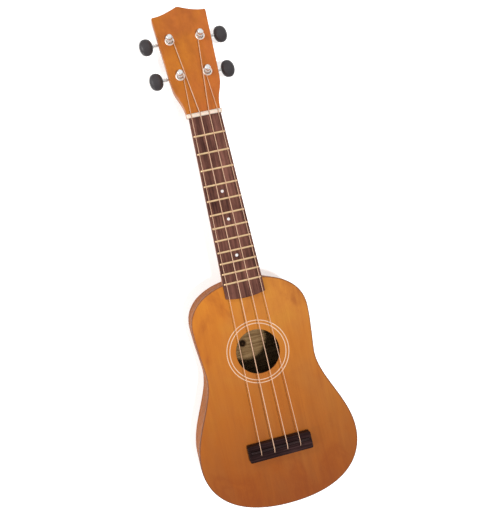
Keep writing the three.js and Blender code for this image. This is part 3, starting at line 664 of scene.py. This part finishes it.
def rib(side_name, side):
    """One bent side, between the plates, from the heel to the tail."""
    half = body_half()
    outer = [Vector((-side * p.x, p.y)) for p in half]
    inner = [Vector((-side * p.x, p.y)) for p in moved_in(BODY_OUTLINE, RIB)[:len(half)]]
    inner[0].x = inner[-1].x = 0
    pairs = list(zip(outer, inner))
    low, high = PLATE, TOP_Z - PLATE
    loops = [[(o.x, o.y, low), (o.x, o.y, high), (i.x, i.y, high), (i.x, i.y, low)]
             for o, i in pairs]
    item = skin(f"side_{side_name}_panel", loops, sharp=40)

    def faces_inside(centre, normal):
        here = centre.to_2d()
        out, into = min(pairs, key=lambda pair: (pair[0] - here).length)
        return (here - into).length < (here - out).length

    finish_piece(item, "rib", replaces=(f"side_{side_name}",), raw=faces_inside)


def inner_woodwork():
    """Blocks, braces and linings keep their CAD shape, with eased edges and raw wood."""
    for name in ("lining_top", "lining_back", "neck_block", "tail_block", "top_brace_upper",
                 "top_brace_lower", "back_brace_upper", "back_brace_lower", "bridge_plate"):
        item = frame["nodes"][name]
        item.data.materials.clear()
        item.data.materials.append(LOOKS["inner"])
        soften(item, 0.5 * MM)


# ------------------------------ bridge and saddle


def rectangle(x0, x1, y0, y1, radius, steps=5):
    """An anticlockwise rectangle with rounded corners."""
    points = []
    for x, y, start in ((x1, y1, 0), (x0, y1, 90), (x0, y0, 180), (x1, y0, 270)):
        centre = Vector((x - math.copysign(radius, x - (x0 + x1) / 2),
                         y - math.copysign(radius, y - (y0 + y1) / 2)))
        for i in range(steps + 1):
            angle = math.radians(start + 90 * i / steps)
            points.append(centre + Vector((radius * math.cos(angle), radius * math.sin(angle))))
    return points


def string_hole(x):
    """Where a string dives into the bridge, and where its hole meets the knot's pocket."""
    return (Vector((x, SADDLE_Y - STRING_MOUTH, BRIDGE_HIGH.z)),
            Vector((x, BRIDGE_LOW.y + KNOT_POCKET["length"], BRIDGE_HIGH.z - STRING_HOLE_END)))


def bridge():
    low, high = BRIDGE_LOW, BRIDGE_HIGH
    outline = rectangle(low.x, high.x, low.y, high.y, 1.8 * MM)
    item = rounded_slab("bridge_block", outline, low.z, high.z, 1.3 * MM, 0.15 * MM,
                        support=0.3 * MM)
    gap_x, gap_y = 0.1 * MM, 0.25 * MM
    cutters = [box("seat", (SADDLE_LOW.x - gap_x, SADDLE_LOW.y - gap_y, SADDLE_LOW.z),
                   (SADDLE_HIGH.x + gap_x, SADDLE_HIGH.y + gap_y, high.z + MM))]
    half = KNOT_POCKET["half_width"]
    floor, ceiling = high.z - KNOT_POCKET["low"], high.z - KNOT_POCKET["high"]
    ends = low.y - MM, low.y + KNOT_POCKET["length"]
    for data in STRINGS.values():
        x = data["saddle"]
        mouth, end = string_hole(x)
        past = (mouth - end).normalized() * 2 * MM
        cutters.append(tube("string_hole", [end - past, mouth + past], STRING_BORE, sides=24))
        pocket = rectangle(x - half, x + half, floor, ceiling, 0.8 * MM, steps=3)
        cutters.append(skin("pocket", [[(p.x, y, p.y) for p in pocket] for y in ends]))
    combine(item, cutters, "DIFFERENCE")
    finish_piece(item, "bridge", replaces=("bridge",))


def saddle():
    """A bar with a round top that drops towards its ends."""
    low, high = SADDLE_LOW, SADDLE_HIGH
    half, length = (high.y - low.y) / 2, high.x - low.x
    end_drop, end_length = 1.0 * MM, 2.5 * MM
    steps = 40
    loops = []
    for i in range(steps + 1):
        x = low.x + length * i / steps
        from_end = min(i, steps - i) / steps * length
        top = high.z - end_drop * max(0.0, 1 - from_end / end_length) ** 2
        ring = [(x, SADDLE_Y - half, low.z), (x, SADDLE_Y + half, low.z)]
        ring += [(x, SADDLE_Y + half * c, top - half * 0.9 * (1 - s)) for c, s in arc(180, 8)]
        loops.append(ring)
    item = skin("saddle_bar", loops, sharp=40)
    finish_piece(item, "saddle", replaces=("saddle",))


# ------------------------------ neck and fretboard


def board_half_width(y):
    return BOARD_HALF_AT_NUT + BOARD_SPREAD * (NUT_Y - y) / (NUT_Y - BOARD_LOW.y)


def d_section(half_width, depth, fullness, matrix):
    """A closed section: flat on top at z = 0, D-shaped below, with its top corners eased."""
    ease = 0.5 * MM
    ring = []
    for c, s in arc(180, 40):
        x = half_width * math.copysign(abs(c) ** (2 / fullness), c)
        ring.append((x, -ease - (depth - ease) * s ** (2 / fullness)))
    top = half_width - ease
    ring += [(top * (i / 3 - 1), 0) for i in range(7)]
    return [matrix @ Vector((x, 0, z)) for x, z in ring]


def neck_sections():
    """Sections from the heel to the inside of the head."""
    def across(y):
        return Matrix.Translation((0, y, TOP_Z))

    start, length = BODY_TOP_Y - 6 * MM, 50 * MM
    at_cap, at_heel, at_nut = NECK_DEPTH["cap"], NECK_DEPTH["heel"], NECK_DEPTH["nut"]
    loops = []
    heel = ((0, 1), (0.07, 0.97), (0.14, 0.9), (0.22, 0.78), (0.3, 0.63), (0.38, 0.46),
            (0.47, 0.3), (0.57, 0.17), (0.68, 0.08), (0.82, 0.02), (1, 0))
    for along, drop in heel:
        y = start + along * length
        depth = at_heel + (at_cap - at_heel) * drop
        loops.append(d_section(board_half_width(y), depth, 2.2 - 0.3 * drop, across(y)))
    far = start + length
    for i in range(1, 9):
        y = far + (NUT_Y - far) * i / 8
        depth = at_heel + (at_nut - at_heel) * i / 8
        loops.append(d_section(board_half_width(y), depth, 2.2, across(y)))
    loops.append(d_section(17.5 * MM, at_nut, 2.3, across(HEAD_Y)))
    for along, depth in ((5, 14.2), (10, 13.2), (15, 11.9), (20, 10.9), (24, 10.2)):
        inside_head = HEAD_MATRIX @ Matrix.Translation((0, along * MM, -0.3 * MM))
        loops.append(d_section(17.4 * MM, depth * MM, 2.6, inside_head))
    return loops


def head_outline():
    """The head's outline in its own plane, anticlockwise, from the treble end of the nut."""
    root, flare, shoulder, tip = (17.8, 0), (24.4, 28), (26.2, 46), (1.4, 123.5)
    corner = Vector((29.4, 115))
    points = bezier(root, (18.0, 14), (22.0, 20), flare, 14)
    points += bezier(flare, (25.4, 32), (25.9, 39), shoulder, 8)
    points += [Vector(shoulder).lerp(corner - Vector((0, 1.2)), i / 6) for i in range(7)]
    points += [corner + Vector((-0.1, -0.3)), corner + Vector((-0.5, 0.4))]
    points += bezier(corner + Vector((-1.2, 0.8)), (19, 115.6), (9, 119.9), tip, 14)
    points.append(Vector(tip))
    half = [p * MM for p in points]
    return half + [Vector((-p.x, p.y)) for p in reversed(half)]


def on_head(name):
    """The matrix that stands a piece drawn about Z on the head, where a post is."""
    at = Vector(JOINTS[f"tuner_{name}_post_turn"]["pos_m"])
    return Matrix.Translation(at) @ Matrix.Rotation(-HEAD_TILT, 4, "X")


def neck():
    """Shaft, heel and tilted head as one piece, drilled for the posts."""
    item = skin("neck_carved", neck_sections(), sharp=40)
    head = rounded_slab("head", head_outline(), -HEAD_THICKNESS, 0, HEAD_ROUND, HEAD_ROUND,
                        matrix=HEAD_MATRIX)
    combine(item, [head], "UNION")
    cutters = [drill(POST_HOLE / MM, -20, 20, matrix=on_head(name)) for name in STRINGS]
    clearance = moved_in(BODY_OUTLINE, -0.05 * MM)
    cutters.append(skin("body", [[(p.x, p.y, z) for p in clearance] for z in (-0.01, TOP_Z * 1.5)]))
    cap_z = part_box("neck")[0].z
    cutters.append(box("under_cap", (-0.04, 0.1, -0.02), (0.04, 0.2, cap_z)))
    combine(item, cutters, "DIFFERENCE")
    finish_piece(item, "neck", replaces=("neck",))


def fretboard():
    """A board with a gently rounded end over the body."""
    corner_x = board_half_width(BOARD_CORNER_Y)
    reach = BOARD_LOW.y - BOARD_CORNER_Y
    shares = [i / 12 - 1 for i in range(25)]
    end = [Vector((corner_x * s, BOARD_CORNER_Y + reach * (1 - s * s))) for s in shares]
    half = board_half_width(NUT_Y)
    outline = end + [Vector((half, NUT_Y)), Vector((-half, NUT_Y))]
    item = rounded_slab("fretboard_blank", outline, BOARD_LOW.z, BOARD_HIGH.z, 0.5 * MM,
                        0.05 * MM)
    finish_piece(item, "dark", replaces=("fretboard",))


def fret(number):
    """Rounded wire with filed-down ends."""
    name = f"fret_{number:02d}"
    low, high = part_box(name)
    y, half = (low.y + high.y) / 2, (high.y - low.y) / 2
    base = BOARD_HIGH.z - 0.05 * MM
    tall = high.z - BOARD_HIGH.z
    ends = ((0, 0.12), (0.25, 0.5), (0.7, 0.86), (1.3, 1.0))
    stations = [(low.x + inset * MM, scale) for inset, scale in ends]
    stations += [(high.x - inset * MM, scale) for inset, scale in reversed(ends)]
    loops = [[(x, y + half * (0.6 + 0.4 * scale) * c, base + tall * scale * s)
              for c, s in arc(180, 12)] for x, scale in stations]
    item = skin(f"{name}_wire", loops, sharp=50)
    finish_piece(item, "fret", replaces=(name,))


def position_dot(low_fret):
    """A round inlay in the space above the given fret, just proud of the board."""
    boxes = [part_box(f"fret_{n:02d}") for n in (low_fret, low_fret + 1)]
    y = sum(b[0].y + b[1].y for b in boxes) / 4
    place = Matrix.Translation((0, y, BOARD_HIGH.z))
    profile = [(0, -0.4), (1.55, -0.4), (1.55, 0.02), (1.45, 0.05), (0, 0.08)]
    item = turned(f"position_dot_{low_fret + 1}", profile, matrix=place)
    finish_piece(item, "dot")


def nut():
    """A rounded bar with a groove for each string."""
    low, high = NUT_LOW, NUT_HIGH
    places = [data["nut"] for data in STRINGS.values()]
    half_groove, groove_depth = 0.6 * MM, 1.3 * MM
    front = ((0, 0.5), (0.25, 0.12), (0.9, 0), (2.0, 0.1), (3.0, 0.5))
    rear = ((0.6, 1.1), (0.15, 1.8), (0, 2.6))
    steps = 60
    stations = {round(low.x + (high.x - low.x) * i / steps, 6) for i in range(steps + 1)}
    for offset in (-0.75, -0.55, -0.35, 0, 0.35, 0.55, 0.75):
        stations |= {round(place + offset * MM, 6) for place in places}
    loops = []
    for x in sorted(stations):
        away = min(abs(x - place) for place in places)
        drop = groove_depth * math.sqrt(max(0.0, 1 - (away / half_groove) ** 2)) ** 0.6
        from_end = min(x - low.x, high.x - x)
        ease = 0.7 * MM * max(0.0, 1 - from_end / (0.9 * MM)) ** 2
        top = high.z - max(drop, ease)
        loops.append([
            (x, low.y, low.z),
            *((x, low.y + y * MM, top - z * MM) for y, z in front),
            *((x, high.y - y * MM, top - z * MM) for y, z in rear),
            (x, high.y, low.z)])
    item = skin("nut_bar", loops, sharp=50)
    finish_piece(item, "nut", replaces=("nut",))


# ------------------------------ strings


def post_place(name):
    """The matrix from a tuner's own frame, drawn for the treble side, to the ukulele's."""
    side = JOINTS[f"tuner_{name}_button_turn"]["axis"][0]
    return on_head(name) @ Matrix.Diagonal((side, 1, 1, 1))


def string(name):
    """From its knot behind the bridge, over saddle and nut, to the side of its post."""
    data = STRINGS[name]
    radius = data["diameter"] / 2
    mouth, end = string_hole(data["saddle"])
    knot_place = end - Vector((0, KNOT_POCKET["length"] / 2, 0.4 * MM))
    route = [
        knot_place,
        end,
        mouth,
        (data["saddle"], SADDLE_Y, SADDLE_HIGH.z + 0.05 * MM + radius),
        (data["nut"], NUT_Y + 1.1 * MM, NUT_HIGH.z - 1.25 * MM + radius),
        post_place(name) @ Vector((-POST_WAIST - radius, 0, WIND_HEIGHT + radius)),
    ]
    item = tube(f"string_{name}_line", smooth_route(route, 12 * MM, 1.2 * MM), radius)
    loop, length, turns, steps = 0.75 * MM, 1.4 * MM, 2.6, 30
    knot = []
    for k in range(steps + 1):
        angle = 2 * math.pi * turns * k / steps
        knot.append(knot_place + Vector((
            loop * math.cos(angle), length * (k / steps - 0.5), loop * math.sin(angle))))
    knot_item = tube(f"string_{name}_knot", knot, radius * 0.95, sides=10)
    finish_piece(knot_item, "nylon")
    finish_piece(item, "nylon", replaces=(f"string_{name}",))


def winding(name):
    """The string's turns round its post, up to the hole and a short way through it."""
    radius = STRINGS[name]["diameter"] / 2
    climb = 2.15 * radius
    steps = 100
    points = []
    for i in range(steps + 1):
        t = i / steps
        angle = math.pi - t * WIND_TURNS * 2 * math.pi
        z = WIND_HEIGHT + radius + climb * WIND_TURNS * t
        late = max(0.0, (t - 0.75) / 0.25)
        z += (POST_HOLE_HEIGHT - z) * late * late
        widening = min(1.0, max(0.0, z / MM - 5.2))
        r = POST_WAIST + (POST_RADIUS - POST_WAIST) * widening + radius * 1.02
        points.append(Vector((r * math.cos(angle), r * math.sin(angle), z)))
    points += [Vector((2.2 * MM, 0, POST_HOLE_HEIGHT)), Vector((0, 0, POST_HOLE_HEIGHT)),
               Vector((-POST_RADIUS - 0.5 * MM, 0.1 * MM, POST_HOLE_HEIGHT + 0.1 * MM))]
    place = post_place(name)
    item = tube(f"string_{name}_winding", [place @ p for p in points], radius, sides=10)
    finish_piece(item, "wound_nylon", body=f"tuner_{name}_post")


# ------------------------------ tuning machines
# Each piece is drawn for the treble side, with Z along its post and the head's face at
# z = 0, and placed by post_place().


def ferrule(name):
    profile = [(3.4, -8), (4.15, -8), (4.2, -7.8), (4.2, 0.03), (4.95, 0.03), (5.0, 0.12),
               (5.0, 0.75), (4.93, 1.02), (4.75, 1.2), (4.5, 1.28), (4.1, 1.3), (3.75, 1.27),
               (3.5, 1.15), (3.4, 0.95), (3.4, -8)]
    item = turned(f"tuner_{name}_bush", profile, matrix=post_place(name))
    finish_piece(item, "ferrule", replaces=(f"tuner_{name}_ferrule",))


def post(name):
    foot = (SHAFT_Z - GEAR_HALF) / MM - 0.8
    shoulder = SHAFT_Z / MM + 2.4
    top = POST_TOP
    profile = [(0, foot), (2.0, foot), (2.1, foot + 0.1), (2.1, shoulder), (3.0, shoulder),
               (3.0, 2.0), (2.9, 2.6), (2.65, 3.05), (2.5, 3.6), (2.5, 4.8), (2.6, 5.3),
               (2.85, 5.85), (3.0, 6.4), (3.0, top - 1.0), (2.92, top - 0.6),
               (2.7, top - 0.25), (2.3, top - 0.07), (1.2, top), (0, top)]
    item = turned(f"tuner_{name}_capstan", profile)
    through = drill(STRING_BORE / MM, -6, 6, 24,
                    Matrix.Translation((0, 0, POST_HOLE_HEIGHT)) @ ONTO_X)
    slot = box("slot", (-0.35 * MM, -4 * MM, (top - 0.65) * MM),
               (0.35 * MM, 4 * MM, (top + 2) * MM))
    combine(item, [through, slot], "DIFFERENCE")
    item.data.transform(post_place(name))
    finish_piece(item, "chrome", body=f"tuner_{name}_post",
                 replaces=(f"tuner_{name}_post",))


def gear(name):
    """A worm wheel: helical teeth on a dished blank."""
    outer, root = GEAR_RADIUS + THREAD_OUT, GEAR_RADIUS - THREAD_IN
    eased = outer - 0.06 * MM
    tooth = ((-0.22, root), (-0.15, GEAR_RADIUS), (-0.09, eased), (-0.06, outer),
             (0.06, outer), (0.09, eased), (0.15, GEAR_RADIUS), (0.22, root))
    points = []
    for number in range(TEETH):
        for offset, radius in tooth:
            angle = math.pi / 2 + (number + offset) * 2 * math.pi / TEETH
            points.append(Vector((radius * math.cos(angle), radius * math.sin(angle))))
    item = rounded_slab(f"tuner_{name}_wheel", points, -GEAR_HALF, GEAR_HALF, 0.06 * MM,
                        0.06 * MM, steps=2, support=0)
    slope = MODULE / 2 / WORM_RADIUS / GEAR_RADIUS
    for v in item.data.vertices:
        v.co = Matrix.Rotation(slope * v.co.z, 3, "Z") @ v.co
    bore = drill(POST_FOOT / MM, -5, 5, 32)
    dish = turned("dish", [(0, -5), (3.3, -5), (3.3, -1.7), (2.9, -1.7), (0, -1.7)])
    combine(item, [bore, dish], "DIFFERENCE")
    item.data.transform(post_place(name) @ Matrix.Translation((0, 0, SHAFT_Z)))
    finish_piece(item, "gear", body=f"tuner_{name}_post",
                 replaces=(f"tuner_{name}_gear",))


def shaft_place(name):
    """Turns a piece drawn about Z onto the button's shaft."""
    return post_place(name) @ ONTO_SHAFT


def worm_shaft(name):
    """The shaft, with its worm between the plate's ears and beads before the button."""
    root = (WORM_RADIUS - THREAD_IN) / MM
    half = WORM_LENGTH / 2 / MM
    socket = (BUTTON_CENTRE - BUTTON_HALF.x) / MM
    radius = SHAFT_RADIUS / MM
    ear = (EAR["inner"] + EAR["thickness"]) / MM
    beads = ((radius, 4.5), (2.2, 4.5), (2.3, 4.4), (2.3, 3.6), (2.2, 3.5), (1.9, 3.3),
             (1.9, 1.6), (2.2, 1.4), (2.3, 1.3), (2.3, 0.4), (2.2, 0.3), (radius, 0.3))
    profile = [(0, -ear - 0.8), (radius - 0.2, -ear - 0.8), (radius, -ear - 0.6),
               (radius, -half), (root, -half), (root, half), (radius, half),
               *((r, socket - before) for r, before in beads),
               (radius, socket + 5.5), (0, socket + 5.5)]
    item = turned(f"tuner_{name}_shaft", profile, steps=32)
    inner, outer = WORM_RADIUS - THREAD_IN - 0.2 * MM, WORM_RADIUS + THREAD_OUT
    eased = outer - 0.12 * MM
    thick = 0.3 * PITCH / 2
    ridge = ((inner, -1.55), (inner, 1.55), (eased, 0.66), (outer, 0.42), (outer, -0.42),
             (eased, -0.66))
    turns = math.floor(WORM_LENGTH / PITCH) - 0.5
    per_turn = 28
    loops = []
    for i in range(int(turns * per_turn) + 1):
        turn = i / per_turn - turns / 2
        angle = 2 * math.pi * turn + math.pi / 2
        loops.append([(r * math.cos(angle), r * math.sin(angle), turn * PITCH + along * thick)
                      for r, along in ridge])
    combine(item, [skin("ridge", loops)], "UNION")
    item.data.transform(shaft_place(name))
    finish_piece(item, "chrome", body=f"tuner_{name}_button",
                 replaces=(f"tuner_{name}_worm_shaft",))


def button(name):
    """A flattened oval with a flat, narrow foot where the shaft goes in."""
    half = BUTTON_HALF
    steps = 28
    rings = []
    for i in range(steps + 1):
        along = max(-0.975, -math.cos(math.pi * i / steps))
        wide = max(0.02, 1 - abs(along) ** 2.25) ** (1 / 2.1)
        thick = max(0.02, 1 - abs(along) ** 2.8) ** (1 / 2.3)
        if i == 0:
            wide, thick = 0.16, 0.3
        rings.append([(math.copysign(abs(c) ** 0.82, c) * half.z * thick,
                       math.copysign(abs(s) ** 0.95, s) * half.y * wide,
                       BUTTON_CENTRE + along * half.x) for c, s in circle(1, 56)])
    item = skin(f"tuner_{name}_knob", rings, sharp=60)
    socket_low = (BUTTON_CENTRE - half.x) / MM
    socket = drill(SHAFT_RADIUS / MM + 0.1, socket_low - 1, socket_low + 6, 32)
    combine(item, [socket], "DIFFERENCE")
    item.data.transform(shaft_place(name))
    finish_piece(item, "button", body=f"tuner_{name}_button",
                 replaces=(f"tuner_{name}_button",))


def plate(name):
    """A stamped sheet with two ears that carry the shaft."""
    outline = rectangle(-BASE["half_width"], BASE["half_width"], BASE["low"], BASE["high"],
                        BASE["corner"], steps=8)
    item = rounded_slab(f"tuner_{name}_base", outline, PLATE_TOP - SHEET, PLATE_TOP,
                        0.12 * MM, 0.2 * MM, steps=3)
    half, root = EAR["half_width"], PLATE_TOP - 0.1 * MM
    outline = [Vector((WORM_OFFSET - half, root))]
    outline += [Vector((WORM_OFFSET - half * c, SHAFT_Z - EAR["drop"] * s))
                for c, s in arc(180, 12)]
    outline.append(Vector((WORM_OFFSET + half, root)))
    stand = Matrix(((0, 0, 1, 0), (1, 0, 0, 0), (0, 1, 0, 0), (0, 0, 0, 1)))
    ears = []
    for end in (-1, 1):
        low, high = sorted((end * EAR["inner"], end * (EAR["inner"] + EAR["thickness"])))
        ears.append(rounded_slab("ear", outline, low, high, 0.12 * MM, 0.12 * MM, steps=2,
                                 matrix=stand))
    combine(item, ears, "UNION")
    bore = drill(SHAFT_RADIUS / MM + 0.2, -10, 10, 24, ONTO_SHAFT)
    post_hole = drill(POST_RADIUS / MM + 0.4, -20, 0, 36)
    combine(item, [bore, post_hole], "DIFFERENCE")
    item.data.transform(post_place(name))
    finish_piece(item, "steel", replaces=(f"tuner_{name}_plate",))


def screw(label, place, radius, body):
    """A pan-head screw with a cross recess, its head, of a radius in mm, along -Z."""
    profile = [(0, 2.2), (radius * 0.4, 2.2), (radius * 0.42, 0), (radius, 0), (radius, -0.35),
               (radius * 0.93, -0.7), (radius * 0.7, -1.0), (radius * 0.35, -1.14), (0, -1.18)]
    item = turned(label, profile, steps=32)
    half_slot, reach = 0.24, radius * 0.62
    arms = [box("arm", (-w * MM, -h * MM, -3 * MM), (w * MM, h * MM, -0.6 * MM))
            for w, h in ((half_slot, reach), (reach, half_slot))]
    combine(item, arms, "DIFFERENCE")
    item.data.transform(place)
    finish_piece(item, "steel", body=body)


def tuner(name):
    for piece in (ferrule, post, gear, worm_shaft, button, plate):
        piece(name)
    place = post_place(name)
    for label, y in PLATE_SCREWS.items():
        at = place @ Matrix.Translation((0, y, PLATE_TOP - SHEET))
        screw(f"tuner_{name}_plate_screw_{label}", at, radius=1.9, body="body")
    at = place @ Matrix.Translation((0, 0, SHAFT_Z - GEAR_HALF - 0.8 * MM))
    screw(f"tuner_{name}_gear_screw", at, radius=2.2, body=f"tuner_{name}_post")


# ------------------------------ stage

# Both places are measured from the nut's middle, at the soundboard's height.
CAMERA_FROM = Vector((-83.7, -129.7, 690)) * MM
CAMERA_AT = Vector((2.9, -150.4, 0)) * MM
CAMERA_ROLL = math.radians(12.78)
FOCAL_LENGTH = 47.0
SENSOR = 36.0


def camera():
    nut_point = Vector((0, NUT_Y, TOP_Z))
    data = bpy.data.cameras.new("camera")
    data.lens = FOCAL_LENGTH
    data.sensor_width = SENSOR
    data.clip_start = 0.01
    item = linked("camera", data)
    forward = (CAMERA_AT - CAMERA_FROM).normalized()
    level_up = (Vector((0, 1, 0)) - forward * forward.y).normalized()
    level_right = forward.cross(level_up)
    up = level_up * math.cos(CAMERA_ROLL) + level_right * math.sin(CAMERA_ROLL)
    right = forward.cross(up)
    turn = Matrix((right, up, -forward)).transposed().to_4x4()
    item.matrix_world = Matrix.Translation(nut_point + CAMERA_FROM) @ turn
    bpy.context.scene.camera = item


def light(name, at, aim, size, power, diffuse=True, glossy=True):
    """A round softbox, which can be kept out of the surfaces' brightness or reflections."""
    data = bpy.data.lights.new(name, "AREA")
    data.shape = "DISK"
    data.size = size
    data.energy = power
    item = linked(name, data)
    item.location = at
    item.rotation_euler = (Vector(aim) - Vector(at)).to_track_quat("-Z", "Y").to_euler()
    item.visible_diffuse = diffuse
    item.visible_glossy = glossy


def stage():
    half = 6.0
    corners = [(-half, -half, 0), (half, -half, 0), (half, half, 0), (-half, half, 0)]
    mesh = bpy.data.meshes.new("floor")
    mesh.from_pydata(corners, [], [(0, 1, 2, 3)])
    floor = linked("floor", mesh)
    r = Recipe("pale_floor")
    r.set(Base_Color=r.mix(r.noise((3, 3, 3)), (0.80, 0.80, 0.80), (0.83, 0.83, 0.825)),
          Roughness=0.85, Emission_Color=(1, 1, 1, 1), Emission_Strength=0.5,
          Specular_IOR_Level=0.1)
    mesh.materials.append(r.material)
    world = bpy.data.worlds.new("studio")
    world.use_nodes = True
    background = world.node_tree.nodes["Background"]
    background.inputs["Color"].default_value = (1, 1, 1, 1)
    background.inputs["Strength"].default_value = 0.52
    bpy.context.scene.world = world
    light("key", (0.21, -0.30, 2.4), (0, 0.1, 0), size=0.2, power=50, glossy=False)
    light("sheen", (0.35, 2.3, 2.2), (0, 0.38, 0), size=2.4, power=7, diffuse=False)
    light("sparkle", (-1.1, 1.3, 1.3), (0, 0.2, 0), size=0.5, power=9)
    light("edge", (-1.5, -0.2, 0.8), (0, 0.1, 0), size=0.4, power=7)
    bpy.context.scene.view_settings.view_transform = "Standard"


# ------------------------------ build

camera()
stage()
soundboard()
for ring_name in RING_RADII:
    rosette_ring(ring_name)
back_plate()
rib("bass", -1)
rib("treble", 1)
inner_woodwork()
bridge()
saddle()
neck()
fretboard()
for fret_number in range(1, 13):
    fret(fret_number)
for dot_fret in (4, 6, 9):
    position_dot(dot_fret)
nut()
for string_name in STRINGS:
    string(string_name)
    winding(string_name)
    tuner(string_name)
